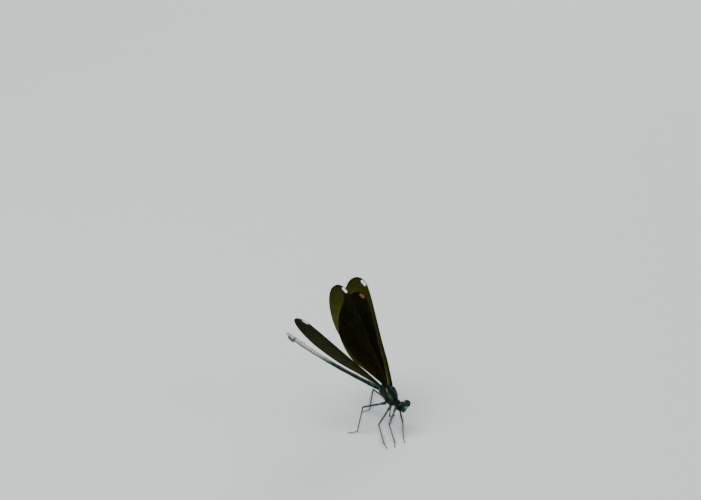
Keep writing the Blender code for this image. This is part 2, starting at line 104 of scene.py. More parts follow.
view_right = np.array([math.cos(CAMERA_YAW), math.sin(CAMERA_YAW), 0.0])
view_back = np.array([
    math.sin(CAMERA_YAW) * math.cos(CAMERA_DROP),
    -math.cos(CAMERA_YAW) * math.cos(CAMERA_DROP),
    math.sin(CAMERA_DROP),
])
view_up = np.cross(view_back, view_right)
camera_data = bpy.data.cameras.new("camera")
camera_data.sensor_width = SENSOR_WIDTH
camera_data.lens = SENSOR_WIDTH * CAMERA_DISTANCE / VIEW_WIDTH
camera_data.clip_start, camera_data.clip_end = NEAREST_SEEN, FURTHEST_SEEN
camera = show("camera", camera_data)
eye_place = stand([0, 0, 0]) + view_back * CAMERA_DISTANCE
aim = stand([0, 0, 0]) + view_right * AIM_ASIDE + view_up * AIM_ABOVE
place_facing(camera, eye_place * METRES_PER_MM, aim * METRES_PER_MM)
bpy.context.scene.camera = camera
print("lens", round(camera_data.lens, 1), "mm, camera at", [round(v, 3) for v in camera.location])

# %% [markdown]
# A pale floor under soft light from a wide panel overhead, as on an overcast day outdoors.
# A panel much larger than the insect gives the long soft highlight that runs along a shiny body.
# Two weaker panels, beside and behind it, keep the shaded flank and the far edges readable.

# %% Floor and light
FLOOR_HALF_SIZE = 3.0  # metres
FLOOR_COLOUR = (0.66, 0.68, 0.66, 1.0)
FLOOR_ROUGHNESS = 0.9
SKY_COLOUR = (0.86, 0.93, 1.0, 1.0)
SKY_STRENGTH = 0.55
PANELS = (  # name, place in metres, width in metres, power in watts, colour
    ("overhead", (-0.15, -0.25, 0.75), 0.6, 6.5, (1.0, 0.98, 0.95)),
    ("side_fill", (0.65, 0.15, 0.3), 0.4, 1.3, (0.85, 0.93, 1.0)),
    ("back_rim", (-0.3, 0.6, 0.4), 0.3, 1.8, (0.95, 0.98, 1.0)),
)

square = np.array([(-1, -1, 0), (1, -1, 0), (1, 1, 0), (-1, 1, 0)])
floor_mesh = bpy.data.meshes.new("floor")
floor_mesh.from_pydata(square * FLOOR_HALF_SIZE, [], [(0, 1, 2, 3)])
floor_finish = bpy.data.materials.new("floor_pale")
floor_finish.use_nodes = True
floor_shader = floor_finish.node_tree.nodes["Principled BSDF"]
floor_shader.inputs["Base Color"].default_value = FLOOR_COLOUR
floor_shader.inputs["Roughness"].default_value = FLOOR_ROUGHNESS
floor_mesh.materials.append(floor_finish)
floor = show("floor", floor_mesh)

world = bpy.data.worlds.new("soft_sky")
world.use_nodes = True
sky = world.node_tree.nodes["Background"]
sky.inputs["Color"].default_value = SKY_COLOUR
sky.inputs["Strength"].default_value = SKY_STRENGTH
bpy.context.scene.world = world

for name, place, width, power, colour in PANELS:
    panel = bpy.data.lights.new(name, "AREA")
    panel.shape = "SQUARE"
    panel.size, panel.energy, panel.color = width, power, colour
    place_facing(show(name, panel), place, (0, 0, 0))
print(len(PANELS), "panels and a floor of", 2 * FLOOR_HALF_SIZE, "m")

# %% [markdown]
# Nearly every piece here is one of two things: a grid of points wrapped into a closed skin, or many small
# copies of such a skin. Both are worked out as whole arrays, and only the finished array goes into a mesh.
# The grid has rows along the piece and columns round it, and each end is closed by a fan to a pole.

# %% From a grid of points to a piece
made_pieces = []


def wrap_faces(rows, columns):
    """Quads between neighbouring rows, each column joined to the next and the last to the first."""
    row, column = np.meshgrid(np.arange(rows - 1), np.arange(columns), indexing="ij")
    following = (column + 1) % columns
    corners = [row * columns + column, row * columns + following]
    corners += [(row + 1) * columns + following, (row + 1) * columns + column]
    return np.stack(corners, axis=-1).reshape(-1, 4)


def closed_skins(grids, poles=None):
    """Points, quads and triangles of many skins: each grid is wrapped, and its end rows are fanned to poles.

    The ring points come first, then the first pole of every skin, then the last pole of every skin.
    """
    count, rows, columns = grids.shape[:3]
    if poles is None:
        poles = grids[:, [0, -1]].mean(axis=2).transpose(1, 0, 2).reshape(-1, 3)
    starts = (np.arange(count) * rows * columns)[:, None]
    column = np.arange(columns)
    following = (column + 1) % columns
    fans = []
    for end, (near, far) in enumerate(((following, column), (column, following))):
        ring = starts + end * (rows - 1) * columns
        pole = count * rows * columns + end * count + np.arange(count)[:, None] + 0 * column
        fans.append(np.stack([ring + near, ring + far, pole], axis=-1).reshape(-1, 3))
    quads = (wrap_faces(rows, columns) + starts[..., None]).reshape(-1, 4)
    return np.concatenate([grids.reshape(-1, 3), poles]), quads, np.concatenate(fans)


def mesh_from(name, points, quads, triangles=np.empty((0, 3), dtype=int)):
    """Writes points in millimetres and their faces into a mesh in metres."""
    mesh = bpy.data.meshes.new(name)
    mesh.vertices.add(len(points))
    mesh.vertices.foreach_set("co", (np.asarray(points) * METRES_PER_MM).ravel())
    corners = np.concatenate([quads.ravel(), triangles.ravel()]).astype(np.int32)
    mesh.loops.add(len(corners))
    mesh.loops.foreach_set("vertex_index", corners)
    starts = np.concatenate([np.arange(len(quads)) * 4, len(quads) * 4 + np.arange(len(triangles)) * 3])
    mesh.polygons.add(len(starts))
    mesh.polygons.foreach_set("loop_start", starts.astype(np.int32))
    mesh.polygons.foreach_set("use_smooth", np.ones(len(starts), dtype=bool))
    mesh.update(calc_edges=True)
    mesh.validate()
    return mesh


def mark(mesh, name, values):
    """Keeps one number for each point on the mesh, for its material to read."""
    layer = mesh.attributes.new(name, "FLOAT", "POINT")
    layer.data.foreach_set("value", np.asarray(values, dtype=np.float32).ravel())


def add_piece(mesh, finish, nodes=()):
    """Shows a mesh as a finished piece that rides on the insect and stands for the given nodes."""
    mesh.materials.append(finish)
    piece = show(mesh.name, mesh)
    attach(piece, "root")
    if nodes:
        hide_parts(*nodes)
    made_pieces.append(piece)
    return piece


def add_skin(name, grid, finish, nodes=(), marks=None):
    """One closed skin as a piece, with numbers marked on its grid; a pole takes the mean of its row."""
    mesh = mesh_from(name, *closed_skins(grid[None]))
    for label, values in (marks or {}).items():
        mark(mesh, label, np.append(values.ravel(), [values[0].mean(), values[-1].mean()]))
    return add_piece(mesh, finish, nodes)


print("a grid of 3 by 4 points wraps into", len(wrap_faces(3, 4)), "quads")

# %% [markdown]
# The slices of the body are known only here and there along it, so a smooth curve is put through them.
# Between two stations it is a cubic whose slopes at the stations are the mean slopes beside them.
# A grid then reads as many slices from that curve as it needs. Hills, rises and turns are the other
# small shapes that the pieces below are made of.

# %% Curves, hills and turns


def through(stations, places):
    """Values at the places, on cubics through rows of (place, value, value...)."""
    table = np.asarray(stations, dtype=float)
    knots, values = table[:, 0], table[:, 1:]
    slopes = np.gradient(values, knots, axis=0)
    places = np.asarray(places, dtype=float)
    k = np.clip(np.searchsorted(knots, places) - 1, 0, len(knots) - 2)
    width = (knots[k + 1] - knots[k])[..., None]
    u = (places - knots[k])[..., None] / width
    start = values[k] * (1 + 2 * u) * (1 - u) ** 2 + slopes[k] * width * u * (1 - u) ** 2
    end = values[k + 1] * u * u * (3 - 2 * u) + slopes[k + 1] * width * u * u * (u - 1)
    return np.squeeze(start + end, axis=-1) if values.shape[1] == 1 else start + end


def bump(distance, width):
    """A smooth hill of height one: e to the minus square of the distance over the width."""
    return np.exp(-((distance / width) ** 2))


def climb(value, start, width):
    """Nought before the start, one past the start plus the width, and a straight slope between."""
    return np.clip((value - start) / width, 0, 1)


def squared(value, squareness):
    """A sine or cosine pushed out towards a box as the squareness passes two."""
    return np.sign(value) * np.abs(value) ** (2 / squareness)


def turns(columns):
    """Equal angles round a full turn, without the last, which is the first again."""
    return np.linspace(0, 2 * np.pi, columns, endpoint=False)


def unit(vectors):
    """Vectors scaled to length one."""
    return vectors / np.maximum(np.linalg.norm(vectors, axis=-1, keepdims=True), 1e-9)


def ball_directions(rows, columns, margin):
    """Directions in circles about the left-right axis; the margin is the small angle left at each pole."""
    polar = np.linspace(margin, np.pi - margin, rows)[:, None]
    turn = turns(columns)
    forward, up = np.sin(polar) * np.cos(turn), np.sin(polar) * np.sin(turn)
    return np.stack([forward, 0 * turn - np.cos(polar), up], axis=-1)


print("curve check, halfway:", through(((0, 0), (1, 2), (2, 2)), 0.5).round(3))

# %% [markdown]
# Insect cuticle is a stack of clear layers over dark pigment, so it shines like lacquered metal, green in one
# place and blue in the next. The finishes here mix dark colours by broad noise, roughen them by fine
# noise, add a fine leathery bump, and lay a thin clear coat on top.

# %% Building blocks of the materials


def new_finish(name):
    """A material and its node tree."""
    finish = bpy.data.materials.new(name)
    finish.use_nodes = True
    return finish, finish.node_tree


def feed(tree, socket, value):
    """Links another node's output to a socket, or sets it to a number or colour."""
    if isinstance(value, bpy.types.NodeSocket):
        tree.links.new(value, socket)
    else:
        socket.default_value = (*value, 1.0) if socket.type == "RGBA" and len(value) == 3 else value


def add_node(tree, kind, inputs=None, **settings):
    """One node with its settings, and inputs that are numbers, colours or other nodes' outputs."""
    node = tree.nodes.new("ShaderNode" + kind)
    for key, value in settings.items():
        setattr(node, key, value)
    for key, value in (inputs or {}).items():
        feed(tree, node.inputs[key], value)
    return node


def surface(tree, **values):
    """Feeds the Principled shader's sockets by name, with _ for a space."""
    shader = tree.nodes["Principled BSDF"]
    for key, value in values.items():
        feed(tree, shader.inputs[key.replace("_", " ")], value)


def object_place(tree):
    """Object coordinates in metres."""
    return add_node(tree, "TexCoord").outputs["Object"]


def noise(tree, scale, detail=3.0, roughness=0.55):
    """Noise on object coordinates; the scale counts its grains per metre."""
    inputs = {"Vector": object_place(tree), "Scale": scale, "Detail": detail, "Roughness": roughness}
    return add_node(tree, "TexNoise", inputs).outputs["Fac"]


def marked(tree, name):
    """A number kept on the mesh under this name."""
    return add_node(tree, "Attribute", attribute_name=name).outputs["Fac"]


def ramp(tree, factor, *stops):
    """A colour ramp through (place, colour) stops; a lone number is a grey."""
    node = add_node(tree, "ValToRGB", {"Fac": factor})
    elements = node.color_ramp.elements
    while len(elements) < len(stops):
        elements.new(1.0)
    for element, (place, colour) in zip(elements, stops):
        element.position = place
        element.color = (*colour, 1.0) if isinstance(colour, tuple) else (colour, colour, colour, 1.0)
    return node.outputs["Color"]


def math_node(tree, operation, *values, clamp=False):
    """One sum on numbers or outputs."""
    return add_node(tree, "Math", dict(enumerate(values)), operation=operation, use_clamp=clamp).outputs[0]


def mixed(tree, factor, first, second, blend="MIX"):
    """Blends two colours by a factor."""
    inputs = {0: factor, 6: first, 7: second}
    return add_node(tree, "Mix", inputs, data_type="RGBA", blend_type=blend).outputs[2]


def painted(tree, ground, *coats):
    """Lays colours one after another over a ground, each where its mark is high."""
    for name, colour in coats:
        ground = mixed(tree, marked(tree, name), ground, colour)
    return ground


def grain(tree, height, strength, distance):
    """A surface direction bumped by a height signal; the distance is in metres."""
    inputs = {"Height": height, "Strength": strength, "Distance": distance}
    return add_node(tree, "Bump", inputs).outputs["Normal"]


print("material helpers ready")

# %% [markdown]
# The thorax is metallic dark green, near black in shade. Each flank has a yellow-brown patch below the wing
# roots, which fades down the side in a tan band, and there is a pale knob where the abdomen joins.
# These marks are smooth hills over the side view of the body. Their heights are kept on the mesh for the
# finish to read, so they sit on the same plates on both sides.

# %% Thorax finish
THORAX_GREENS = ((0.3, (0.0015, 0.006, 0.0045)), (0.5, (0.003, 0.014, 0.010)), (0.72, (0.006, 0.034, 0.023)))
BAND_TANS = ((0.12, 0.13, 0.05), (0.075, 0.085, 0.038))
PATCH_AMBER = (0.42, 0.18, 0.012)
KNOB_CREAM = (0.36, 0.33, 0.24)
SEAM_BLACK = (0.004, 0.006, 0.005)


def thorax_finish():
    """Metallic green with a warm patch and a tan band on the flank, both of them less metallic."""
    finish, tree = new_finish("thorax_green")
    broad = noise(tree, 900.0)
    fine = noise(tree, 9000.0, 2.0)
    tan = mixed(tree, broad, *BAND_TANS)
    coats = (("band", tan), ("patch", PATCH_AMBER), ("pale", KNOB_CREAM), ("seam", SEAM_BLACK))
    warm = math_node(tree, "ADD", marked(tree, "patch"), marked(tree, "band"), clamp=True)
    surface(
        tree,
        Base_Color=painted(tree, ramp(tree, broad, *THORAX_GREENS), *coats),
        Metallic=math_node(tree, "SUBTRACT", 0.75, warm, clamp=True),
        Roughness=ramp(tree, fine, (0.35, 0.24), (0.7, 0.42)),
        Normal=grain(tree, fine, strength=0.35, distance=0.00003),
        Specular_IOR_Level=0.25, Coat_Weight=0.05, Coat_Roughness=0.18,
    )
    return finish


THORAX_FINISH = thorax_finish()
print(THORAX_FINISH.name, "has", len(THORAX_FINISH.node_tree.nodes), "nodes")

# %% [markdown]
# The thorax is one continuous skin from the waist to the neck. In life its side plates slope backwards
# and meet in fine grooves, a low keel runs along the top in front of the wings, and a small hump rises
# between the roots of each pair.
# The slices are squared ovals; the grooves and the keel are small hills and valleys added to their radius.

# %% Thorax skin
THORAX_SLICES = (  # place along the body, lowest and highest point, half width
    (-4.15, -0.35, 0.75, 0.55),
    (-3.80, -0.65, 1.60, 0.95),
    (-3.00, -1.20, 2.15, 1.25),
    (-2.00, -1.75, 2.35, 1.35),
    (-1.00, -2.40, 2.75, 1.50),
    (0.00, -2.85, 2.95, 1.55),
    (0.80, -2.95, 2.60, 1.45),
    (1.50, -2.80, 1.85, 1.25),
    (2.00, -2.45, 0.95, 0.98),
    (2.27, -2.20, 0.05, 0.76),
    (2.50, -2.50, -0.25, 0.92),
    (2.85, -2.50, -0.22, 1.02),
    (3.20, -2.25, -0.42, 0.90),
    (3.45, -1.90, -0.62, 0.56),
    (4.00, -1.80, -0.65, 0.46),
)
THORAX_SQUARENESS = 2.4
TOP_NARROWING = 0.12
PLATE_SLOPE = 0.62
PLATE_SEAMS = (-3.1, -1.75, -0.45, 0.95)
SEAM_DEPTH, SEAM_WIDTH = 0.09, 0.07
SEAMS_STOP = 2.2
SEAMLESS_MIDDLE = 0.25
NECK_SEAM, NECK_SEAM_WIDTH = 2.28, 0.09
KEEL_PLACE, KEEL_LENGTH, KEEL_WIDTH, KEEL_HEIGHT = 1.2, 1.2, 0.12, 0.10
HUMP_PLACES = (-1.6, -3.1)
HUMP_LENGTH, HUMP_WIDTH, HUMP_HEIGHT = 0.55, 0.7, 0.4
# Place along the body and height, how far the mark leans, its length and its height.
PATCH = (-0.85, 1.68, 0.8, 0.26, 0.42)
BAND = (0.75, 0.45, 0.9, 0.5, 0.62)
KNOB = (-3.95, 0.85, 0.0, 0.35, 0.6)
PATCH_STRENGTH, BAND_STRENGTH, KNOB_STRENGTH, SEAM_STRENGTH = 1.15, 0.8, 0.8, 0.8
MARKS_FULL_AT = 0.625


def thorax_grid(rows, columns):
    """Squared ovals along the body, narrower above, less valleys along sloping lines of the side view."""
    x = np.linspace(THORAX_SLICES[0][0], THORAX_SLICES[-1][0], rows)
    low, high, half_width = through(THORAX_SLICES, x).T[..., None]
    middle = (low + high) / 2
    across = squared(np.cos(turns(columns)), THORAX_SQUARENESS)
    up = squared(np.sin(turns(columns)), THORAX_SQUARENESS)
    y = half_width * (1 - TOP_NARROWING * up) * across
    z = middle + (high - low) / 2 * up
    x = x[:, None] + 0 * z
    seam = sum(bump(x - PLATE_SLOPE * z - place, SEAM_WIDTH) for place in PLATE_SEAMS)
    seam = seam * (1 - bump(across, SEAMLESS_MIDDLE)) * (x < SEAMS_STOP)
    seam = np.maximum(seam, bump(x - NECK_SEAM, NECK_SEAM_WIDTH))
    keel = bump(across, KEEL_WIDTH) * (up > 0) * bump(x - KEEL_PLACE, KEEL_LENGTH)
    humps = sum(bump(x - place, HUMP_LENGTH) for place in HUMP_PLACES) * bump(across, HUMP_WIDTH) * (up > 0)
    grow = KEEL_HEIGHT * keel - SEAM_DEPTH * seam + HUMP_HEIGHT * humps
    stretch = 1 + grow / (np.hypot(y, z - middle) + 1e-6)
    grid = np.stack([x, y * stretch, middle + (z - middle) * stretch], axis=-1)
    return grid, np.clip(seam, 0, 1), np.abs(across)


def leaning_hill(x, z, place, level, lean, length, height):
    """A hill over the side view, moved along the body by its lean for each millimetre of height."""
    return bump(x - place + lean * (z - level), length) * bump(z - level, height)


def make_thorax():
    """The thorax skin with its painted marks."""
    grid, seam, outward = thorax_grid(200, 132)
    x, z = grid[..., 0], grid[..., 2]
    on_side = climb(outward, 0, MARKS_FULL_AT)
    patch = np.clip(PATCH_STRENGTH * leaning_hill(x, z, *PATCH) * on_side, 0, 1)
    band = np.clip(BAND_STRENGTH * leaning_hill(x, z, *BAND) * on_side * (1 - patch), 0, 1)
    pale = KNOB_STRENGTH * leaning_hill(x, z, *KNOB)
    marks = {"patch": patch, "band": band, "seam": SEAM_STRENGTH * seam, "pale": pale}
    return add_skin("thorax_skin", stand(grid), THORAX_FINISH, ("pterothorax", "prothorax"), marks)


thorax = make_thorax()
print("thorax skin:", len(thorax.data.polygons), "faces")

# %% [markdown]
# The abdomen is a slender tube of ten rings. Each ring flares a little towards its hind rim, where it laps
# over a thin membrane, so the joints show as fine dark lines, not as gaps.
# In an old female its last third carries a whitish bloom on the back, over a dark blue-green ground.

# %% Abdomen finish
ABDOMEN_BLUES = ((0.3, (0.0015, 0.005, 0.005)), (0.5, (0.003, 0.011, 0.011)), (0.75, (0.008, 0.028, 0.029)))
BLOOM_GREYS = ((0.3, (0.25, 0.29, 0.26)), (0.7, (0.50, 0.54, 0.50)))
JOINT_BLACK = (0.008, 0.010, 0.010)


def abdomen_finish():
    """Dark metallic blue-green, paler and duller where the bloom mark is high, dark at the joints."""
    finish, tree = new_finish("abdomen_blue_green")
    fine = noise(tree, 12000.0)
    patchy = math_node(tree, "MULTIPLY_ADD", noise(tree, 2600.0, 4.0), 0.7, 0.55)
    bloom = math_node(tree, "MULTIPLY", marked(tree, "bloom"), patchy, clamp=True)
    ground = ramp(tree, noise(tree, 700.0), *ABDOMEN_BLUES)
    dust = ramp(tree, noise(tree, 5200.0, 4.0), *BLOOM_GREYS)
    surface(
        tree,
        Base_Color=painted(tree, mixed(tree, bloom, ground, dust), ("joint", JOINT_BLACK)),
        Metallic=math_node(tree, "SUBTRACT", 0.7, bloom, clamp=True),
        Roughness=math_node(tree, "MULTIPLY_ADD", bloom, 0.35, 0.34),
        Normal=grain(tree, fine, strength=0.3, distance=0.00002),
        Specular_IOR_Level=0.25, Coat_Weight=0.04, Coat_Roughness=0.2,
    )
    return finish


ABDOMEN_FINISH = abdomen_finish()
print(ABDOMEN_FINISH.name, "has", len(ABDOMEN_FINISH.node_tree.nodes), "nodes")

# %% Abdomen skin
SEGMENT_LENGTHS = np.array([1.1, 2.7, 5.3, 5.6, 5.6, 5.2, 4.2, 2.4, 1.7, 1.1])
ABDOMEN_START = -4.45
ABDOMEN_LENGTH = SEGMENT_LENGTHS.sum()
ABDOMEN_RADII = ((0, 0.62), (0.05, 0.66), (0.14, 0.60), (0.50, 0.58), (0.72, 0.62), (0.85, 0.70), (1, 0.55))
ABDOMEN_TALLNESS = 1.05
RIM_SWELL = 0.07
FRONT_RIM_SHARE = 0.6
JOINT_DEPTH, JOINT_WIDTH = 0.10, 0.09
JOINT_STRENGTH = 0.85
END_ROUNDING, END_SHARE = 0.35, 0.25
WAIST_OVERLAP = 0.75
START_HEIGHT, TIP_RISE, MIDDLE_SAG = 0.1, 0.8, 0.6
FOLD_HEIGHT, FOLD_WIDTH, FOLD_DEPTH = -0.72, 0.16, 0.06
BACK_KEEL_WIDTH, BACK_KEEL_RISE = 0.2, 0.03
BLOOM_START, BLOOM_CLIMB = 0.50, 0.22
BLOOM_LOWEST, BLOOM_FADE = -0.35, 0.8
WORN_RIM, WORN_WIDTH, WORN_SHARE = 32.1, 0.35, 0.75


def abdomen_height(along):
    """Height of the centre line: high at the waist, sagging in the middle and rising at the tip."""
    share = along / ABDOMEN_LENGTH
    sag = MIDDLE_SAG * np.sin(np.pi * np.clip(share, 0, 1))
    return START_HEIGHT * (1 - share) ** 2 - sag + TIP_RISE * np.clip(share, 0, None) ** 3


def abdomen_radius(along):
    """Half thickness, with a swell towards each rim, a narrow valley at each joint and a rounded end."""
    rims = np.concatenate([[0], np.cumsum(SEGMENT_LENGTHS)])
    k = np.clip(np.searchsorted(rims, along, side="right") - 1, 0, len(SEGMENT_LENGTHS) - 1)
    step = climb(along, rims[k], SEGMENT_LENGTHS[k])
    radius = through(ABDOMEN_RADII, climb(along, 0, ABDOMEN_LENGTH))
    radius = radius + RIM_SWELL * (step**6 + FRONT_RIM_SHARE * (1 - step) ** 8)
    joint = sum(bump(along - rim, JOINT_WIDTH) for rim in rims[1:-1])
    close = END_SHARE + (1 - END_SHARE) * np.sqrt(climb(ABDOMEN_LENGTH - along, 0, END_ROUNDING))
    return (radius - JOINT_DEPTH * joint) * close, joint


def make_abdomen(rows, columns):
    """Ovals from tail to waist, with a keel on the back, a fold low on each side, and bloom near the tail."""
    along = np.linspace(ABDOMEN_LENGTH, -WAIST_OVERLAP, rows)[:, None]
    radius, joint = abdomen_radius(along)
    up, across = np.sin(turns(columns)), np.cos(turns(columns))
    fold = FOLD_DEPTH * bump(up - FOLD_HEIGHT, FOLD_WIDTH)
    radius = radius * (1 - fold + BACK_KEEL_RISE * bump(across, BACK_KEEL_WIDTH) * (up > 0))
    height = abdomen_height(along) + radius * ABDOMEN_TALLNESS * up
    grid = np.stack([ABDOMEN_START - along + 0 * radius, radius * across, height], axis=-1)
    bloom = climb(along / ABDOMEN_LENGTH, BLOOM_START, BLOOM_CLIMB) * climb(up, BLOOM_LOWEST, BLOOM_FADE)
    bloom = bloom * (1 - WORN_SHARE * bump(along - WORN_RIM, WORN_WIDTH))
    marks = {"bloom": bloom, "joint": np.clip(joint, 0, 1) * JOINT_STRENGTH + 0 * radius}
    nodes = [f"abdomen_{number}" for number in range(1, 11)]
    return add_skin("abdomen_skin", stand(grid), ABDOMEN_FINISH, nodes, marks)


abdomen = make_abdomen(1100, 48)
print("abdomen skin:", len(abdomen.data.polygons), "faces over", round(ABDOMEN_LENGTH, 1), "mm")

# %% [markdown]
# The head is wide, like a dumb-bell with an eye at each end, and the face swells forward between them:
# a metallic green plate (the clypeus), brightened by a painted highlight, a dark green lip below it, and the
# jaws and lower lip under that.
# The skin is a ball pushed outwards: from one inner point, each direction reaches as far as the furthest
# of three soft bodies, blended so that no edge shows, and grooves are pressed in along level lines.

# %% Head skin grid
HEAD_CORE = np.array([5.05, 0.0, -1.75])
HEAD_LOBES = (  # centre and radii
    ((4.72, 0.0, -0.98), (1.12, 1.70, 1.22)),
    ((5.45, 0.0, -1.32), (0.80, 1.06, 0.80)),
    ((5.25, 0.0, -2.35), (0.65, 0.85, 0.70)),
)
HEAD_POLE_MARGIN = 0.01
LOBE_BLEND = 14.0
BLEND_EXCESS = math.log(1.3) / LOBE_BLEND
LEAST_REACH = 0.1
FACE_GROOVES = ((-0.66, 0.05), (-1.38, 0.08), (-1.78, 0.06), (-2.38, 0.08))
GROOVE_WIDTH = 0.05
NOTCH_DEPTH = 0.05
FACE_START, FACE_CLIMB = 5.35, 0.35
FACE_HALF_WIDTH, FACE_SIDE_FADE = 0.85, 0.3


def reach(direction, centre, radii):
    """Distance from the core along each direction to the far side of an egg: a quadratic's larger root."""
    offset = (HEAD_CORE - np.array(centre)) / radii
    slope = direction / np.array(radii)
    a = (slope**2).sum(axis=-1)
    b = (slope * offset).sum(axis=-1)
    c = (offset**2).sum() - 1
    return (-b + np.sqrt(np.maximum(b * b - a * c, 0))) / a


def head_grid(rows, columns):
    """A star-shaped skin: the soft maximum of the reaches, less grooves across the face."""
    direction = ball_directions(rows, columns, HEAD_POLE_MARGIN)
    reaches = np.stack([reach(direction, *lobe) for lobe in HEAD_LOBES])
    blended = np.log(np.exp(LOBE_BLEND * reaches).sum(axis=0)) / LOBE_BLEND
    blended = np.maximum(blended - BLEND_EXCESS, LEAST_REACH)
    x, y, z = np.moveaxis(HEAD_CORE + direction * blended[..., None], -1, 0)
    front = climb(x, FACE_START, FACE_CLIMB) * (1 - climb(np.abs(y), FACE_HALF_WIDTH, FACE_SIDE_FADE))
    grooves = sum(depth * bump(z - level, GROOVE_WIDTH) for level, depth in FACE_GROOVES) * front
    notch = NOTCH_DEPTH * bump(y, GROOVE_WIDTH) * front * (z < FACE_GROOVES[-1][0])
    return HEAD_CORE + direction * (blended - grooves - notch)[..., None], front, grooves


head_points, face_front, face_grooves = head_grid(150, 190)
print("head spans, mm:", np.ptp(head_points.reshape(-1, 3), axis=0).round(2))

# %% Head finish and skin
CROWN_BRONZES = ((0.3, (0.003, 0.006, 0.006)), (0.7, (0.010, 0.030, 0.024)))
FACE_COATS = (
    # The plate's own metallic green, made brighter as a painted highlight.
    ("emerald_and_highlight", (0.004, 0.34, 0.12)),
    ("lip", (0.012, 0.075, 0.04)),
    ("tan", (0.26, 0.19, 0.09)),
    ("groove", (0.003, 0.005, 0.004)),
)
PLATE_HALF_WIDTH, PLATE_SIDE_FADE = 0.62, 0.25
CLYPEUS_LEVEL, CLYPEUS_HEIGHT, CLYPEUS_STRENGTH = -1.0, 0.24, 1.2
LIP_LEVEL, LIP_HEIGHT = -2.05, 0.25
CHEEK_SIDE, CHEEK_WIDTH, CHEEK_LEVEL, CHEEK_HEIGHT = 1.15, 0.3, -1.9, 0.35
CHEEK_START, CHEEK_CLIMB, CHEEK_STRENGTH = 4.6, 0.4, 0.55
GROOVE_DARKENING, GROOVE_DARKEST = 12, 0.9


def head_finish():
    """Bronze-black crown, emerald clypeus with a painted highlight, dark green lip, pale jaw corners."""
    finish, tree = new_finish("head_dark")
    fine = noise(tree, 11000.0)
    surface(
        tree,
        Base_Color=painted(tree, ramp(tree, noise(tree, 1500.0), *CROWN_BRONZES), *FACE_COATS),
        Metallic=math_node(tree, "SUBTRACT", 0.85, marked(tree, "tan"), clamp=True),
        Roughness=ramp(tree, fine, (0.35, 0.2), (0.7, 0.38)),
        Normal=grain(tree, fine, strength=0.3, distance=0.00002),
        Specular_IOR_Level=0.3, Coat_Weight=0.06, Coat_Roughness=0.12,
    )
    return finish


def make_head():
    """The head skin with its face plates marked by height."""
    x, y, z = np.moveaxis(head_points, -1, 0)
    plates = face_front * (1 - climb(np.abs(y), PLATE_HALF_WIDTH, PLATE_SIDE_FADE))
    cheek = bump(np.abs(y) - CHEEK_SIDE, CHEEK_WIDTH) * bump(z - CHEEK_LEVEL, CHEEK_HEIGHT)
    marks = {
        # Where the clypeus is painted emerald: its own green plus a painted highlight.
        "emerald_and_highlight": np.clip(CLYPEUS_STRENGTH * plates * bump(z - CLYPEUS_LEVEL, CLYPEUS_HEIGHT), 0, 1),
        "lip": plates * bump(z - LIP_LEVEL, LIP_HEIGHT),
        "tan": CHEEK_STRENGTH * cheek * climb(x, CHEEK_START, CHEEK_CLIMB),
        "groove": np.clip(face_grooves * GROOVE_DARKENING, 0, GROOVE_DARKEST),
    }
    return add_skin("head_skin", stand(head_points), head_finish(), ("head", "mouthparts"), marks)


head = make_head()
print("head skin:", len(head.data.polygons), "faces")

# %% [markdown]
# Each compound eye is a bulging ball of thousands of tiny facets, black-brown with a wet gloss, and paler
# along its top. The ball is a grid in the same place and of the same size as the model's eye. The facets
# are too fine to model, so a cell pattern in the finish stands for them, as dark lines and as a bump.

# %% Eyes
EYE_PLACE = np.array([4.90, 1.66, -0.95])
EYE_RADII = np.array([1.08, 1.02, 1.14])
FACETS_PER_METRE = 22000.0
EYE_BROWNS = (
    (0.0, (0.002, 0.002, 0.0015)),
    (0.7, (0.004, 0.004, 0.003)),
    (0.9, (0.012, 0.010, 0.007)),
    (1.0, (0.030, 0.026, 0.016)),
)
POLE_MARGIN = 0.02


def eye_finish():
    """Brown-black under a clear wet coat, with fine cells for the facets."""
    finish, tree = new_finish("eye_dark")
    tone = ramp(tree, marked(tree, "top"), *EYE_BROWNS)
    speckled = mixed(tree, 0.8, tone, ramp(tree, noise(tree, 4000.0), (0.35, 0.6), (0.7, 1.0)), "MULTIPLY")
    places = {"Vector": object_place(tree), "Scale": FACETS_PER_METRE}
    cells = add_node(tree, "TexVoronoi", places, feature="DISTANCE_TO_EDGE").outputs["Distance"]
    surface(
        tree,
        Base_Color=mixed(tree, 1.0, speckled, ramp(tree, cells, (0.03, 0.25), (0.16, 1.0)), "MULTIPLY"),
        Normal=grain(tree, cells, strength=0.12, distance=0.000004),
        Roughness=0.4, Specular_IOR_Level=0.04, Coat_Weight=0.2, Coat_Roughness=0.06, Coat_IOR=1.35,
    )
    return finish


EYE_FINISH = eye_finish()
for side_name, side in SIDES.items():
    directions = ball_directions(64, 80, POLE_MARGIN)
    ball = stand(mirrored(EYE_PLACE, side) + directions * EYE_RADII)
    marks = {"top": (directions[..., 2] + 1) / 2}
    add_skin(f"eye_{side_name}_ball", ball, EYE_FINISH, (f"eye_{side_name}",), marks)
print("eyes placed at", stand(EYE_PLACE).round(2))

# %% [markdown]
# Between the compound eyes, on top of the head, sit three simple eyes: clear beads in a triangle, which
# tell light from dark. Each is a small amber ball sunk halfway into the crown.

# %% Simple eyes
OCELLUS_RADIUS = 0.13
OCELLI = ((5.38, 0.0, 0.02), (5.02, 0.33, 0.16), (5.02, -0.33, 0.16))
AMBERS = ((0.3, (0.04, 0.02, 0.008)), (0.7, (0.09, 0.05, 0.02)))


def ocellus_finish():
    """Amber glassy bead, a little cloudy."""
    finish, tree = new_finish("ocellus_amber")
    surface(tree, Base_Color=ramp(tree, noise(tree, 9000.0, 2.0), *AMBERS), Roughness=0.12, Coat_Weight=0.5)
    return finish


OCELLUS_FINISH = ocellus_finish()
for number, place in enumerate(OCELLI, start=1):
    bead = stand(place + ball_directions(20, 28, POLE_MARGIN) * OCELLUS_RADIUS)
    add_skin(f"ocellus_{number}", bead, OCELLUS_FINISH)
print("simple eyes:", len(OCELLI))

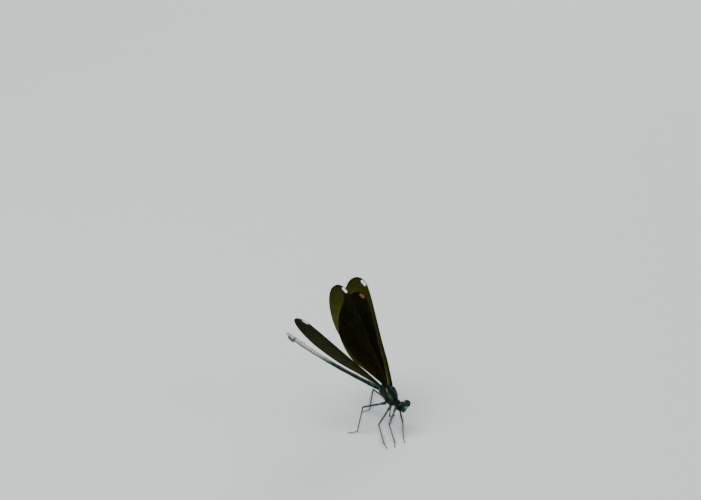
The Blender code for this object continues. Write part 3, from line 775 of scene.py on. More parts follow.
# %% [markdown]
# Limbs, feelers and veins are all profiles carried along a path: at each point of the path a ring is
# set square to it. The ring is turned from one fixed direction, which is enough where the path never runs
# along that direction, so a nearly upright path or spike takes a level one.

# %% A profile along a path
UPRIGHT, LEVEL, FORWARD = (0.0, 0.0, 1.0), (0.31, 0.95, 0.0), (1.0, 0.0, 0.0)
UPRIGHT_TUBE, UPRIGHT_SPIKE = 0.97, 0.9


def rings(axes, guides, sides):
    """Directions round each axis and square to it, turned from the side that its guide gives."""
    first = unit(np.cross(axes, guides))
    second = np.cross(axes, first)
    angle = turns(sides)[:, None]
    return first[:, None] * np.cos(angle) + second[:, None] * np.sin(angle)


def tube_grid(path, radii, sides):
    """Rings square to the path, with a radius for each of its points."""
    tangent = unit(np.gradient(path, axis=0))
    guide = LEVEL if np.abs(tangent[:, 2]).max() > UPRIGHT_TUBE else UPRIGHT
    return path[:, None] + np.asarray(radii)[:, None, None] * rings(tangent, guide, sides)


def tapered(radii, share):
    """A radius that goes evenly from the first to the second."""
    return radii[0] + (radii[1] - radii[0]) * share


def spikes(roots, tips, radii, sides=5, rows=4, bend=(0.0, 0.0, 0.0)):
    """Points and faces of many tapering spikes, each a short tube bowed by a hill of the bend."""
    share = np.linspace(0, 1, rows)[:, None, None]
    axis = unit(tips - roots)
    guides = np.where(np.abs(axis[:, 2:]) > UPRIGHT_SPIKE, [FORWARD], [UPRIGHT])
    centre = roots[:, None, None] * (1 - share) + tips[:, None, None] * share
    centre = centre + np.array(bend) * (4 * share * (1 - share))
    grids = centre + tapered(radii, share) * rings(axis, guides, sides)[:, None]
    return closed_skins(grids, np.concatenate([roots, tips + axis * radii[1]]))


print("one spike has", len(spikes(np.zeros((1, 3)), np.ones((1, 3)), (1, 1))[0]), "points")

# %% [markdown]
# The legs are long, thin and black with a blue-green gleam, and both long joints carry two rows of fine
# bristles, which make the basket that catches prey in flight.
# Each leg is one skin from the hip inside the thorax to the toe, swelling at the knee and the ankle.

# %% Leg finish
LEG_GLEAMS = ((0.35, (0.006, 0.012, 0.012)), (0.6, (0.014, 0.040, 0.036)), (0.8, (0.03, 0.085, 0.075)))


def leg_finish():
    """Near-black cuticle with a blue-green gleam that varies along the leg."""
    finish, tree = new_finish("leg_black")
    fine = noise(tree, 14000.0, 2.0)
    surface(
        tree,
        Base_Color=ramp(tree, noise(tree, 1100.0), *LEG_GLEAMS),
        Roughness=ramp(tree, fine, (0.3, 0.28), (0.7, 0.5)),
        Normal=grain(tree, fine, strength=0.3, distance=0.00002),
        Metallic=0.45, Coat_Weight=0.3, Coat_Roughness=0.2,
    )
    return finish


LEG_FINISH = leg_finish()
print(LEG_FINISH.name, "has", len(LEG_FINISH.node_tree.nodes), "nodes")

# %% Leg skins
LEGS = {  # hip on the level body; knee, ankle and toe over the floor
    "front_left": ((2.9, 0.65, -2.3), (4.96, -0.72, 3.61), (7.51, -3.66, 0.45), (9.27, -5.17, 0.2)),
    "front_right": ((2.9, -0.65, -2.3), (3.52, -5.12, 3.95), (7.58, -7.68, 0.45), (9.00, -9.46, 0.2)),
    "mid_left": ((1.2, 0.95, -2.8), (-4.06, 6.03, 8.2), (-4.91, 5.47, 0.45), (-4.57, 7.37, 0.2)),
    "mid_right": ((1.2, -0.95, -2.8), (0.87, -6.65, 3.75), (5.87, -10.39, 0.45), (7.63, -11.45, 0.2)),
    "hind_left": ((-0.6, 0.95, -2.6), (-9.10, 3.1, 8.75), (-12.30, 5.55, 0.45), (-13.4, 4.0, 0.2)),
    "hind_right": ((-0.6, -0.95, -2.6), (-4.60, -7.18, 7.94), (-5.51, -8.58, 0.45), (-7.09, -10.3, 0.2)),
}
LIMB_ROWS = (46, 46, 22)
HIP_RADIUS, KNEE_RADIUS = 0.52, 0.27
FEMUR_RADII, TIBIA_RADII, TARSUS_RADII = (0.34, 0.24), (0.19, 0.15), (0.15, 0.12)
COXA_LENGTH = 1.9
COXA_GROOVE_DEPTH, COXA_GROOVE_WIDTH = 0.08, 0.22
KNEE_SWELL_LENGTH = 0.5
SHIN_TOP_SWELL, SHIN_END_SWELL = (0.06, 0.4), (0.05, 0.35)
TOE_JOINTS, TOE_JOINT_DEPTH, TOE_JOINT_WIDTH = (0.3, 0.6), 0.04, 0.05
TOE_END_SHARE = 0.6
LOWEST_SKIN = 0.02


def leg_points(hip, *others):
    """The joints in the floor frame; only the hip leans with the body."""
    return [stand(hip), *(np.array(point) + CENTRE_SHIFT for point in others)]


def leg_path(joints):
    """Straight limbs, bent tightly at each joint: each point is averaged twice with its neighbours."""
    limbs = zip(joints, joints[1:], LIMB_ROWS)
    straight = [a + (b - a) * np.linspace(0, 1, rows, endpoint=False)[:, None] for a, b, rows in limbs]
    path = np.concatenate([*straight, joints[-1:]])
    for _ in range(2):
        path[1:-1] = (path[:-2] + 2 * path[1:-1] + path[2:]) / 4
    return path


def leg_radii(joints):
    """Thick at the hip, tapering along each limb, with a swell at knee and ankle and three toe joints."""
    femur, tibia, tarsus = (np.linspace(0, 1, rows, endpoint=False) for rows in LIMB_ROWS)
    femur_length, tibia_length = (np.linalg.norm(b - a) for a, b in zip(joints, joints[1:3]))
    below_hip = femur * femur_length
    upper = tapered(FEMUR_RADII, femur)
    upper = upper + (HIP_RADIUS - FEMUR_RADII[0]) * np.clip(1 - below_hip / COXA_LENGTH, 0, 1)
    upper = upper - COXA_GROOVE_DEPTH * bump(below_hip - COXA_LENGTH, COXA_GROOVE_WIDTH)
    upper = upper + (KNEE_RADIUS - FEMUR_RADII[1]) * bump((1 - femur) * femur_length, KNEE_SWELL_LENGTH)
    lower = tapered(TIBIA_RADII, tibia)
    for from_end, (swell, length) in ((tibia, SHIN_TOP_SWELL), (1 - tibia, SHIN_END_SWELL)):
        lower = lower + swell * bump(from_end * tibia_length, length)
    foot = tapered(TARSUS_RADII, tarsus)
    foot = foot - TOE_JOINT_DEPTH * sum(bump(tarsus - place, TOE_JOINT_WIDTH) for place in TOE_JOINTS)
    return np.concatenate([upper, lower, foot, [TARSUS_RADII[1] * TOE_END_SHARE]])


legs = {label: leg_points(*joints) for label, joints in LEGS.items()}
for label, joints in legs.items():
    leg = tube_grid(leg_path(joints), leg_radii(joints), 20)[::-1]
    leg[..., 2] = np.maximum(leg[..., 2], LOWEST_SKIN)
    nodes = [f"{part}_{label}" for part in ("femur", "tibia", "tarsus")]
    add_skin(f"leg_{label}_skin", leg, LEG_FINISH, nodes)
print("shin lengths, mm:", {label: round(float(np.linalg.norm(j[2] - j[1])), 1) for label, j in legs.items()})

# %% [markdown]
# The bristles stand in two rows on the underside, leaning towards the foot, longest in the middle of each
# limb and a little uneven, as in life. Hundreds are needed, so each has only a few faces, and all the
# bristles of a leg are one mesh.

# %% Bristles
BRISTLE_PITCH, BRISTLE_LENGTH, BRISTLE_SHORTEST = 0.42, 1.45, 0.45
BRISTLE_LEAN, BRISTLE_SPREAD = math.radians(58), math.radians(62)
BRISTLE_RADII = (0.038, 0.010)
BRISTLE_DROOP = (0.0, 0.0, -0.04)
BARE_TOP, BARE_END = 0.5, 0.35
PLACE_JITTER, SPREAD_JITTER, LENGTH_RANGE = 0.06, 0.12, (0.85, 1.1)
LENGTH_EVENNESS = 0.6
ROOT_DEPTH_SHARE = 0.6
FEMUR_MIDDLE, TIBIA_MIDDLE = 0.26, 0.17
FLOOR_CLEARANCE = 0.05


def bristle_rows(start, end, radius, rng):
    """Roots and tips of two rows of bristles along one limb, long in its middle and short at its ends."""
    length = np.linalg.norm(end - start)
    axis = unit(end - start)
    across = unit(np.cross(axis, UPRIGHT))
    below = np.cross(axis, across)
    below = -below if below[2] > 0 else below
    along = np.arange(BARE_TOP, length - BARE_END, BRISTLE_PITCH)
    roots, tips = [], []
    for row in (-1, 1):
        place = along + rng.uniform(-PLACE_JITTER, PLACE_JITTER, len(along)) + 0.5 * BRISTLE_PITCH * (row > 0)
        middle = np.sin(np.pi * climb(place, 0, length)) ** LENGTH_EVENNESS
        long = (BRISTLE_SHORTEST + (1 - BRISTLE_SHORTEST) * middle) * BRISTLE_LENGTH
        long = long * rng.uniform(*LENGTH_RANGE, len(along))
        spread = (BRISTLE_SPREAD + rng.uniform(-SPREAD_JITTER, SPREAD_JITTER, len(along)))[:, None]
        outward = below * np.cos(spread) + across * (row * np.sin(spread))
        roots.append(start + axis * place[:, None] + outward * (radius * ROOT_DEPTH_SHARE))
        direction = outward * math.sin(BRISTLE_LEAN) + axis * math.cos(BRISTLE_LEAN)
        tips.append(roots[-1] + direction * long[:, None])
    return np.concatenate(roots), np.concatenate(tips)


rng = np.random.default_rng(7)
for label, (hip, knee, ankle, toe) in legs.items():
    on_femur = bristle_rows(hip + unit(knee - hip) * COXA_LENGTH, knee, FEMUR_MIDDLE, rng)
    on_tibia = bristle_rows(knee, ankle, TIBIA_MIDDLE, rng)
    roots, tips = (np.concatenate(pair) for pair in zip(on_femur, on_tibia))
    clear = tips[:, 2] > FLOOR_CLEARANCE
    bristles = spikes(roots[clear], tips[clear], BRISTLE_RADII, bend=BRISTLE_DROOP)
    add_piece(mesh_from(f"bristles_{label}", *bristles), LEG_FINISH)
print("bristles on the last leg:", int(clear.sum()))

# %% [markdown]
# Head and thorax carry a sparse down of short dark hairs, which an insect feels the wind with.
# Roots are drawn at random from the points of the head's skin and of a coarser grid of the thorax, and each
# hair leans back from the face. They are far too thin to see from where the photo was taken, but a visitor
# close to the case would.

# %% Hair on head and thorax
HAIR_LENGTH, HAIR_RANGE = 0.42, (0.6, 1.15)
HAIR_RADII = (0.010, 0.004)
HAIR_ROOT_DEPTH = 0.04
HAIR_LEAN_BACK = (0.35, 0.0, 0.0)
HAIR_BOW = (-0.03, 0.0, 0.0)
HEAD_HAIRS, THORAX_HAIRS = 340, 700
EYE_CLEARANCE = 1.08
MOST_FACE = 0.3
BARE_WAIST_ROWS, BARE_NECK_ROWS = 4, 8


def make_hair(name, roots, outward, count):
    """Short spikes from a random choice of roots, each along its outward direction leaned backwards."""
    chosen = rng.choice(len(roots), count, replace=False)
    direction = unit(unit(outward[chosen]) - HAIR_LEAN_BACK)
    length = HAIR_LENGTH * rng.uniform(*HAIR_RANGE, (count, 1))
    start = roots[chosen] - direction * HAIR_ROOT_DEPTH
    hair = spikes(stand(start), stand(start + direction * length), HAIR_RADII, bend=HAIR_BOW)
    add_piece(mesh_from(name, *hair), LEG_FINISH)


roots = head_points.reshape(-1, 3)
beside_eye = np.stack([roots[:, 0], np.abs(roots[:, 1]), roots[:, 2]], axis=-1)
clear_of_eyes = (((beside_eye - EYE_PLACE) / EYE_RADII) ** 2).sum(axis=-1) > EYE_CLEARANCE**2
clear_of_plate = face_front.ravel() * (roots[:, 2] > FACE_GROOVES[1][0]) < MOST_FACE
roots = roots[clear_of_eyes & clear_of_plate]
make_hair("hair_head", roots, roots - HEAD_CORE, HEAD_HAIRS)

roots = thorax_grid(90, 60)[0][BARE_WAIST_ROWS:-BARE_NECK_ROWS].reshape(-1, 3)
place, low, high = np.array(THORAX_SLICES).T[:3]
above_middle = roots[:, 2] - np.interp(roots[:, 0], place, (low + high) / 2)
outward = np.stack([0 * above_middle, roots[:, 1], above_middle / 2], axis=-1)
make_hair("hair_thorax", roots, outward, THORAX_HAIRS)
print("hairs:", HEAD_HAIRS + THORAX_HAIRS)

# %% [markdown]
# Each foot ends in a pair of claws. Each claw leaves the toe, spreads to its own side and curls down to the
# floor.

# %% Claws
CLAW_LENGTH, CLAW_SPLAY = 0.6, 0.42
CLAW_SINK = 0.1
CLAW_RADII = (0.105, 0.015)
CLAW_ARCH, CLAW_ARCH_TURN = 0.10, 0.9
CLAW_TIP_HEIGHT = 0.05


def claw_grid(root, forward, sideways):
    """A thin hook: a tube along an arc that leaves the toe, spreads sideways and curls to the floor."""
    share = np.linspace(0, 1, 14)
    path = root + CLAW_LENGTH * share[:, None] * (forward + sideways * CLAW_SPLAY)
    arch = CLAW_ARCH * np.sin(np.pi * share * CLAW_ARCH_TURN)
    path[:, 2] = root[2] + arch - (root[2] - CLAW_TIP_HEIGHT) * share**2
    return tube_grid(path, tapered(CLAW_RADII, share), 8)


for label, (hip, knee, ankle, toe) in legs.items():
    forward = unit((toe - ankle) * (1, 1, 0))
    sideways = np.cross(forward, UPRIGHT)
    for claw_name, side in (("a", 1), ("b", -1)):
        claw = claw_grid(toe - forward * CLAW_SINK, forward, side * sideways)
        add_skin(f"claw_{label}_{claw_name}", claw, LEG_FINISH)
print("claws made:", 2 * len(legs))

# %% [markdown]
# The feelers are short in a damselfly: two stubby joints and then a fine bristle.

# %% Feelers
FEELER_ROOT = np.array([5.60, 0.45, -0.40])
FEELER_TIP = np.array([7.35, 1.40, 0.80])
FEELER_SINK = 0.45
FEELER_ARCH = 0.12
WHIP_RADII = (0.063, 0.018)
FEELER_JOINTS = ((0.14, 0.07, 0.11), (0.32, 0.09, 0.07))  # place, length and rise of each swelling


def make_feeler(side_name, side):
    """Two thick joints and a thin whip along a slightly arched path."""
    root, tip = mirrored(FEELER_ROOT, side), mirrored(FEELER_TIP, side)
    start = root - unit(tip - root) * FEELER_SINK
    share = np.linspace(0, 1, 60)
    path = start + (tip - start) * share[:, None]
    path[:, 2] += FEELER_ARCH * np.sin(np.pi * share)
    swellings = sum(rise * bump(share - place, length) for place, length, rise in FEELER_JOINTS)
    feeler = tube_grid(stand(path), tapered(WHIP_RADII, share) + swellings, 14)
    add_skin(f"feeler_{side_name}", feeler, LEG_FINISH, (f"antenna_{side_name}",))


for side_name, side in SIDES.items():
    make_feeler(side_name, side)
print("feelers reach", round(float(np.linalg.norm(FEELER_TIP - FEELER_ROOT)), 2), "mm")

# %% [markdown]
# At the end of the abdomen a female has two short appendages above and a blade below, with which she
# slits stems to lay her eggs. The blade is a pale grey-brown, deeper than wide, and blunt at both ends.

# %% Tail pieces
HORN_BROWNS = ((0.3, (0.09, 0.075, 0.055)), (0.7, (0.26, 0.235, 0.185)))
BLADE_START = 0.35
BLADE_SLICES = (  # place along the blade, lift over the belly line, depth, half width
    (0.0, 0.0, 0.3, 0.2),
    (0.5, 0.0, 0.5, 0.27),
    (1.6, 0.02, 0.5, 0.25),
    (2.2, 0.05, 0.4, 0.2),
    (2.6, 0.1, 0.3, 0.14),
)
BLADE_LENGTH = BLADE_SLICES[-1][0]
BLADE_OVERLAP, BLADE_EXTRA_DEPTH = 0.05, 0.3
BLADE_ROUNDING, BLADE_BLUNTNESS = 0.06, 0.02
BLADE_TOP_NARROWING = 0.25
CERCUS_ROOT = np.array([0.25, 0.22, 0.12])
CERCUS_REACH = np.array([-1.1, 0.0, 0.12])
CERCUS_BEND, CERCUS_BEND_BACK = 0.2, 0.4
CERCUS_RADIUS, CERCUS_TIP_RADIUS = 0.19, 0.02


def blade_finish():
    """Pale grey-brown horn, darker in its grain."""
    finish, tree = new_finish("blade_brown")
    streak = noise(tree, 3500.0, 4.0)
    surface(
        tree,
        Base_Color=ramp(tree, streak, *HORN_BROWNS),
        Roughness=ramp(tree, streak, (0.3, 0.32), (0.7, 0.5)),
        Normal=grain(tree, streak, strength=0.3, distance=0.00003),
        Coat_Weight=0.3, Coat_Roughness=0.25,
    )
    return finish


def blade_grid(rows, columns):
    """Ovals below the belly line, flattened from the sides, over the last two rings."""
    share = np.linspace(1, 0, rows)
    lift, depth, half_width = through(BLADE_SLICES, share * BLADE_LENGTH).T
    along = SEGMENT_LENGTHS[:8].sum() + BLADE_START + share * BLADE_LENGTH
    belly = abdomen_height(along)
    belly = belly - (through(ABDOMEN_RADII, climb(along, 0, ABDOMEN_LENGTH)) + RIM_SWELL) * ABDOMEN_TALLNESS
    close = np.sqrt(np.clip(np.minimum(share, 1 - share) / BLADE_ROUNDING, BLADE_BLUNTNESS, 1))
    half_depth = (depth + BLADE_EXTRA_DEPTH) * close / 2
    up, across = np.sin(turns(columns)), np.cos(turns(columns))
    z = (belly + lift + BLADE_OVERLAP - half_depth)[:, None] + half_depth[:, None] * up
    y = (half_width * close)[:, None] * across * (1 - BLADE_TOP_NARROWING * up)
    return np.stack([(ABDOMEN_START - along)[:, None] + 0 * z, y, z], axis=-1)


def cercus_grid(side):
    """One short appendage that tapers, and splays outwards less and less towards its tip."""
    share = np.linspace(0, 1, 30)
    end = np.array([ABDOMEN_START - ABDOMEN_LENGTH, 0, abdomen_height(ABDOMEN_LENGTH)])
    path = end + mirrored(CERCUS_ROOT, side) + share[:, None] * CERCUS_REACH
    path[:, 1] += side * CERCUS_BEND * share * (1 - CERCUS_BEND_BACK * share)
    return tube_grid(stand(path), CERCUS_RADIUS * np.sqrt(1 - share**2) + CERCUS_TIP_RADIUS, 16)


BLADE_FINISH = blade_finish()
add_skin("egg_blade", stand(blade_grid(70, 28)), BLADE_FINISH, ("ovipositor",))
for side_name, side in SIDES.items():
    add_skin(f"cercus_{side_name}_skin", cercus_grid(side), BLADE_FINISH, (f"cercus_{side_name}",))
print("blade length", BLADE_LENGTH, "mm")

# %% [markdown]
# A jewelwing's wings are broad, round-ended and smoky brown. They let light through, so where two overlap
# the pair looks almost black. The membrane is made as a very thin closed sheet over the same outline as
# the model's blade, pleated a little from vein to vein, and its finish mixes clear and brown.

# %% Wing outline
FOREWING_LENGTH, HINDWING_LENGTH = 33.0, 32.0
LEADING = ((0, 0.6), (0.1, 1.2), (0.2, 1.7), (0.4, 2.3), (0.6, 3.15), (0.8, 3.9), (1, 4.0))
TRAILING = ((0, 0.5), (0.1, 2.1), (0.2, 3.7), (0.4, 6.9), (0.6, 7.95), (0.8, 7.65), (1, 7.15))
EDGES = ((LEADING, 0.88), (TRAILING, 0.64))  # each with the share of the length from which it rounds off
TIP_STUB = 0.1
FOREWING_ROOT = np.array([-1.2, 0.90, 2.35])
HINDWING_ROOT = np.array([-3.2, 0.98, 1.7])
WINGS = {  # side, root, length, then lift, spread and twist in degrees
    "forewing_left": (1, FOREWING_ROOT, FOREWING_LENGTH, 46.4, 7.3, 5.3),
    "forewing_right": (-1, FOREWING_ROOT, FOREWING_LENGTH, 43.7, 1.4, 3.0),
    "hindwing_left": (1, HINDWING_ROOT, HINDWING_LENGTH, 26.7, 23.4, 30.3),
    "hindwing_right": (-1, HINDWING_ROOT, HINDWING_LENGTH, 32.9, 25.4, 26.5),
}


def half_chord(along, stations, round_from):
    """Chord on one side of the span line, closed off by a quarter ellipse at the tip."""
    past = climb(along, round_from, 1 - round_from)
    return np.maximum(through(stations, along) * np.sqrt(1 - past**2), TIP_STUB)


def wing_frame(wing):
    """Root, length, and the span, chord and outward directions of a wing lifted, spread and twisted."""
    side, root, length, *angles = WINGS[wing]
    lift, spread, twist = (math.radians(angle) for angle in angles)
    up_and_back = np.array([-math.cos(lift), 0, math.sin(lift)])
    sideways = np.array([0, side, 0.0])
    span = math.cos(spread) * up_and_back + math.sin(spread) * sideways
    outward = math.cos(spread) * sideways - math.sin(spread) * up_and_back
    chord = math.cos(twist) * np.array([math.sin(lift), 0, math.cos(lift)]) + math.sin(twist) * outward
    return mirrored(root, side), length, span, chord, unit(np.cross(span, chord))


mean_chord = sum(half_chord(np.linspace(0, 1, 500), *edge).mean() for edge in EDGES)
print("wing area, mm2:", round(float(mean_chord * FOREWING_LENGTH)))

# %% [markdown]
# The long veins leave the root crowded near the front edge and fan out towards the hind edge. New ones
# begin between them as the wing widens, so the spacing stays even. Each vein is a line of equal share of the
# chord, warped towards the front near the root, and short cross veins join neighbours into small cells.

# %% Wing surface
VEIN_FAN = 0.55
PLEATS, PLEAT_RISE = 9, 0.06
PLEATS_FULL_AFTER, PLEATS_FADE_BEFORE = 1 / 6, 1 / 12
TIP_CROWDING = 1.5


def wing_point(wing, along, share, lift=0.0):
    """A point from its shares of the length and of the chord, the latter drawn forward near the root."""
    root, length, span, chord, normal = wing_frame(wing)
    ahead, behind = (half_chord(np.clip(along, 0, 1), *edge) for edge in EDGES)
    vein_line = share ** (1 + VEIN_FAN * (1 - np.clip(along, 0, 1)))
    across = ahead - vein_line * (ahead + behind)
    fade = climb(along, 0, PLEATS_FULL_AFTER) * climb(1 - along, 0, PLEATS_FADE_BEFORE)
    fade = fade * np.sqrt(np.sin(np.pi * np.clip(share, 0, 1)))
    pleat = PLEAT_RISE * fade * (2 * np.abs((share * PLEATS) % 1 - 0.5) - 0.5)
    spot = root + span * (along * length)[..., None] + chord * across[..., None]
    return spot + normal * (pleat + lift)[..., None]


def towards_tip(count):
    """Steps from nought to one, closer together near one."""
    return 1 - (1 - np.linspace(0, 1, count)) ** TIP_CROWDING


print("a forewing's tip, mm:", stand(wing_point("forewing_left", np.ones(1), np.zeros(1))).round(1))

# %% [markdown]
# Film, veins and white cells have a finish each. The film lets light through tinted brown where it is clear,
# and how much of it is brown is the mark left on the mesh, plus soft streaks.

# %% Wing finishes
SMOKY_BROWNS = ((0.3, (0.006, 0.007, 0.0012)), (0.7, (0.014, 0.016, 0.003)))
CLEAR_TINT = (0.73, 0.72, 0.32)
STREAK_STRENGTH = 0.20
VEIN_BROWNS = ((0.3, (0.004, 0.004, 0.001)), (0.7, (0.015, 0.014, 0.003)))
# Colours of the painted glow on the white cells, which stands in for light shining through them.
CHALK_WHITES = ((0.3, (0.80, 0.84, 0.80)), (0.7, (0.95, 0.97, 0.95)))
PAINTED_GLOW_RAMP = ((0.0, 0.0), (0.2, (0.05, 0.0475, 0.0425)), (1.0, (1.0, 0.5, 0.42)))


def membrane_finish():
    """Smoky brown film: part clear with a brown tint, part dull brown, darker in soft streaks."""
    finish, tree = new_finish("wing_smoky")
    streak = noise(tree, 420.0, 4.0)
    surface(
        tree,
        Base_Color=ramp(tree, streak, *SMOKY_BROWNS),
        Normal=grain(tree, noise(tree, 6000.0), strength=0.15, distance=0.00002),
        Roughness=0.4, Specular_IOR_Level=0.003,
    )
    clear = add_node(tree, "BsdfTransparent", {"Color": CLEAR_TINT}).outputs[0]
    amount = math_node(tree, "MULTIPLY_ADD", streak, STREAK_STRENGTH, marked(tree, "smoke"))
    brown = tree.nodes["Principled BSDF"].outputs[0]
    both = add_node(tree, "MixShader", {0: amount, 1: clear, 2: brown}).outputs[0]
    feed(tree, tree.nodes["Material Output"].inputs["Surface"], both)
    return finish


def vein_finish():
    """Dark brown horn with a faint grain."""
    finish, tree = new_finish("wing_vein")
    fine = noise(tree, 5000.0, 2.0)
    surface(
        tree,
        Base_Color=ramp(tree, fine, *VEIN_BROWNS),
        Roughness=ramp(tree, fine, (0.3, 0.35), (0.7, 0.5)),
        Specular_IOR_Level=0.05,
    )
    return finish


def spot_finish():
    """Chalky white cell with a faint grey mottle, and a painted glow as strong as its mark, standing in for
    light through the cell.
    """
    finish, tree = new_finish("wing_white_spot")
    mottle = noise(tree, 4500.0)
    surface(
        tree,
        Base_Color=ramp(tree, mottle, *CHALK_WHITES),
        # The emission is a painted glow, standing in for light shining through the cell.
        Emission_Color=ramp(tree, marked(tree, "lit"), *PAINTED_GLOW_RAMP),
        Normal=grain(tree, mottle, strength=0.3, distance=0.00004),
        Roughness=0.5, Emission_Strength=4.0,
    )
    return finish


MEMBRANE_FINISH, VEIN_FINISH, SPOT_FINISH = membrane_finish(), vein_finish(), spot_finish()
print("wing finishes:", [finish.name for finish in (MEMBRANE_FINISH, VEIN_FINISH, SPOT_FINISH)])

# %% [markdown]
# The film is two sheets a hair's breadth apart, joined round the rim. Its smoke is darkest along the front
# edge and in the hindwings, and a forewing is clearer behind the front edge near its root.

# %% Membranes
MEMBRANE_THICKNESS = 0.04
ROOT_SINK = 0.8
SMOKE_AT_ROOT, SMOKE_TOWARDS_TIP = 0.42, 0.2
SMOKE_AT_TIP, TIP_SMOKE_LENGTH = 0.08, 0.15
SMOKE_AT_FRONT, FRONT_SMOKE_WIDTH, WIDER_AT_ROOT, WIDENING, FRONT_FADE = 0.34, 0.26, 0.45, 5, 0.7
SMOKE_IN_HINDWING = 0.2
CLEARER_BEHIND, CLEARER_FROM, CLEARER_CLIMB, CLEARER_PLACE, CLEARER_LENGTH = 0.26, 0.4, 0.4, 0.15, 0.22
LEAST_SMOKE, MOST_SMOKE = 0.1, 0.86


def smoke_amount(wing, tip, chordwise):
    """Smoke that grows towards the tip and the front edge, and is denser in a hindwing."""
    width = FRONT_SMOKE_WIDTH + WIDER_AT_ROOT * (1 - tip) ** WIDENING
    front = bump(chordwise, width) * (1 - tip) ** FRONT_FADE
    smoke = SMOKE_AT_ROOT + SMOKE_TOWARDS_TIP * tip + SMOKE_AT_TIP * bump(1 - tip, TIP_SMOKE_LENGTH)
    smoke = smoke + SMOKE_AT_FRONT * front
    if wing.startswith("hindwing"):
        smoke = smoke + SMOKE_IN_HINDWING
    else:
        behind = climb(chordwise, CLEARER_FROM, CLEARER_CLIMB) * bump(tip - CLEARER_PLACE, CLEARER_LENGTH)
        smoke = smoke - CLEARER_BEHIND * behind
    return np.clip(smoke, LEAST_SMOKE, MOST_SMOKE)


def make_membrane(wing, rows, columns):
    """Two sheets of the same grid, joined round the rim, and closed by a strip of quads at root and tip."""
    steps = np.append(-ROOT_SINK / FOREWING_LENGTH, towards_tip(rows))
    along, share = np.meshgrid(steps, np.linspace(0, 1, columns), indexing="ij")
    along, share = (np.concatenate([half, half[:, ::-1]], axis=1) for half in (along, share))
    lift = np.where(np.arange(2 * columns) < columns, 0.5, -0.5) * MEMBRANE_THICKNESS
    grid = wing_point(wing, along, share, lift)
    k = np.arange(columns - 1)
    strip = np.stack([k, k + 1, 2 * columns - 2 - k, 2 * columns - 1 - k], axis=-1)
    quads = np.concatenate([wrap_faces(rows + 1, 2 * columns), strip[:, ::-1], strip + rows * 2 * columns])
    mesh = mesh_from(f"{wing}_membrane", stand(grid).reshape(-1, 3), quads)
    mark(mesh, "smoke", smoke_amount(wing, np.clip(along, 0, 1), share))
    add_piece(mesh, MEMBRANE_FINISH, (wing,))


for wing in WINGS:
    make_membrane(wing, 150, 145)
print("membranes:", len(WINGS), "each", MEMBRANE_THICKNESS, "mm thick")

# %% [markdown]
# Long veins are thin tubes along lines of equal share, thick at the front edge and thinning backwards and
# outwards. The cross veins are short spikes of even width between two neighbouring lines, set at a random
# small offset so that the cells look grown and not ruled.

# %% Veins
LONG_VEINS = 27
FRONT_SHARES, FIRST_FAN_SHARE = (0.0, 0.045, 0.09), 0.16
SECOND_VEINS_BEGIN, THIRD_VEINS_BEGIN = 0.18, 0.36
SUBCOSTA, NODUS, VEINS_END = 1, 0.38, 0.996
FRONT_VEIN_RADIUS, FRONT_THINNING = 0.12, 3
VEIN_RADIUS, ROOT_VEIN_SHARE, BACKWARD_THINNING, OUTWARD_THINNING = 0.048, 1.2, 0.5, 0.55
CROSS_RADIUS, CROSS_PITCH = 0.018, 0.45
CROSS_START, CROSS_STOP, CROSS_JITTER, BRICK_SHIFT, CROSS_SLANT = 0.03, 0.985, 0.006, 0.009, 0.002
CROSS_LOWEST, CROSS_HIGHEST, CROSS_CLEARANCE = 0.02, 0.99, 0.01


def long_vein_lines(count):
    """The share of each long vein, and where it begins and ends: every second one begins further out."""
    shares = np.concatenate([FRONT_SHARES, np.linspace(FIRST_FAN_SHARE, 1, count - len(FRONT_SHARES))])
    order = np.arange(count)
    begins = np.select([order % 4 == 3, order % 2 == 1], [THIRD_VEINS_BEGIN, SECOND_VEINS_BEGIN], 0.0)
    begins[[0, 1, 2, -1]] = 0.0
    ends = np.full(count, VEINS_END)
    ends[SUBCOSTA] = NODUS
    return shares, begins, ends


def long_vein_grid(wing, share, begin, end):
    """One vein as a tube, thicker in the front ones, thinner backwards and outwards."""
    along = begin + (end - begin) * towards_tip(110)
    in_front = FRONT_VEIN_RADIUS * (1 - FRONT_THINNING * share)
    further_back = VEIN_RADIUS * (ROOT_VEIN_SHARE - BACKWARD_THINNING * share)
    radius = in_front if share <= FRONT_SHARES[-1] else further_back
    path = stand(wing_point(wing, along, np.full_like(along, share)))
    return tube_grid(path, radius * (1 - OUTWARD_THINNING * along), 6)


def make_veins(wing, rng):
    """All veins of a wing in one mesh: the cross veins run from each long vein to the next."""
    shares, begins, ends = long_vein_lines(LONG_VEINS)
    long_veins = closed_skins(np.stack([long_vein_grid(wing, *line) for line in zip(shares, begins, ends)]))
    steps = np.arange(CROSS_START, CROSS_STOP, CROSS_PITCH / FOREWING_LENGTH)
    first, place = np.meshgrid(np.arange(LONG_VEINS - 1), steps, indexing="ij")
    place = place + rng.uniform(-CROSS_JITTER, CROSS_JITTER, place.shape) + (first % 2) * BRICK_SHIFT
    place = np.clip(place, CROSS_LOWEST, CROSS_HIGHEST)
    slanted = place + rng.uniform(-CROSS_SLANT, CROSS_SLANT, place.shape)
    present = place > np.maximum(begins[first], begins[first + 1]) + CROSS_CLEARANCE
    roots = stand(wing_point(wing, place, shares[first])[present])
    tips = stand(wing_point(wing, slanted, shares[first + 1])[present])
    cross_veins = spikes(roots, tips, (CROSS_RADIUS, CROSS_RADIUS), sides=4, rows=2)
    shifts = (0, len(long_veins[0]), len(long_veins[0]))
    parts = [np.concatenate([a, b + shift]) for a, b, shift in zip(long_veins, cross_veins, shifts)]
    return add_piece(mesh_from(f"{wing}_veins", *parts), VEIN_FINISH)


for seed, wing in enumerate(WINGS):
    veins = make_veins(wing, np.random.default_rng(seed))
print("veins of one wing:", len(veins.data.polygons), "faces")
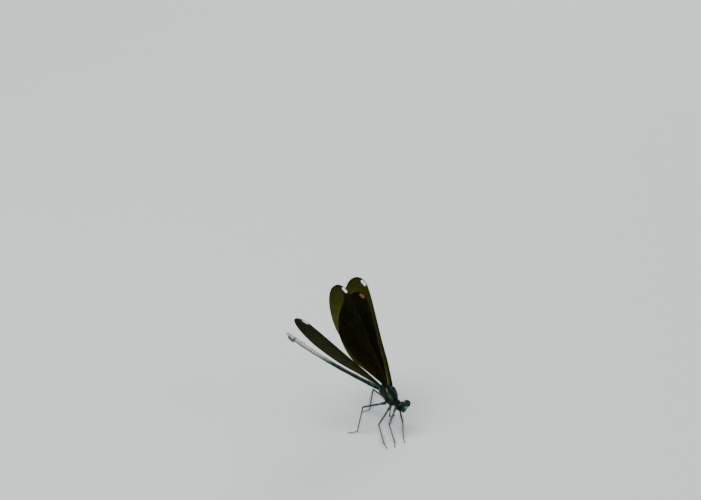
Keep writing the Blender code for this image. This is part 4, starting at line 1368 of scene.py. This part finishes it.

# %% [markdown]
# Near the tip, just behind the front edge, a female's wing has one white cell. It is a little swollen
# and opaque, so it is a small pillow of its own, standing proud of the film on both faces.
# A faint glow is painted on each cell, standing in for light that passes through it. The left hindwing's
# inner face is seen through the brown forewing in front, where it shows as an orange spot, so it gets a
# strong warm painted glow.

# %% White wing spots
SPOT_PLACE, SPOT_AHEAD = 0.922, 2.95
SPOT_LENGTH, SPOT_WIDTH, SPOT_THICKNESS = 2.2, 1.0, 0.2
SPOT_SQUARENESS = 2.8
SPOT_SLANT = (0.89, -0.45)
# Strength of the painted glow on every white cell, and the extra painted glow on the left hindwing's inner
# face.
SPOT_GLOW_PAINTED, INNER_GLOW_PAINTED = 0.1, 0.9


def make_spot(wing):
    """A slanted pillow: a squared oval swept round, thickest in its middle."""
    root, length, span, chord, normal = wing_frame(wing)
    slant = unit(span * SPOT_SLANT[0] + chord * SPOT_SLANT[1])
    broad = unit(np.cross(normal, slant))
    x, height, y = np.moveaxis(ball_directions(20, 40, POLE_MARGIN), -1, 0)[..., None]
    grid = root + span * (SPOT_PLACE * length) + chord * SPOT_AHEAD + height * SPOT_THICKNESS / 2 * normal
    grid = grid + squared(x, SPOT_SQUARENESS) * SPOT_LENGTH / 2 * slant
    grid = grid + squared(y, SPOT_SQUARENESS) * SPOT_WIDTH / 2 * broad
    # A painted glow: emission standing in for light through the cell, strongest on the left hindwing's inner
    # face.
    lit = SPOT_GLOW_PAINTED + 0 * height
    if wing == "hindwing_left":
        lit = lit + INNER_GLOW_PAINTED * np.clip(-2 * np.sign(normal[1]) * height, 0, 1)
    add_skin(f"{wing}_spot", stand(grid), SPOT_FINISH, marks={"lit": lit})


for wing in WINGS:
    make_spot(wing)
print("white spots:", len(WINGS))

# %% [markdown]
# Last, every closed skin is checked: a closed surface that faces outwards encloses a positive volume.
# One that comes out negative is turned here, once.

# %% Turn any skin that faces inwards


def enclosed(mesh):
    """Volume by the sum of signed tetrahedra over the triangles."""
    mesh.calc_loop_triangles()
    corners = np.empty(len(mesh.loop_triangles) * 3, dtype=np.int32)
    mesh.loop_triangles.foreach_get("vertices", corners)
    places = np.empty(len(mesh.vertices) * 3)
    mesh.vertices.foreach_get("co", places)
    a, b, c = places.reshape(-1, 3)[corners.reshape(-1, 3)].transpose(1, 0, 2)
    return float((a * np.cross(b, c)).sum() / 6)


turned = [piece for piece in made_pieces if enclosed(piece.data) < 0]
for piece in turned:
    piece.data.flip_normals()
print("turned:", [piece.name for piece in turned])
print("pieces:", len(made_pieces), "faces:", sum(len(piece.data.polygons) for piece in made_pieces))
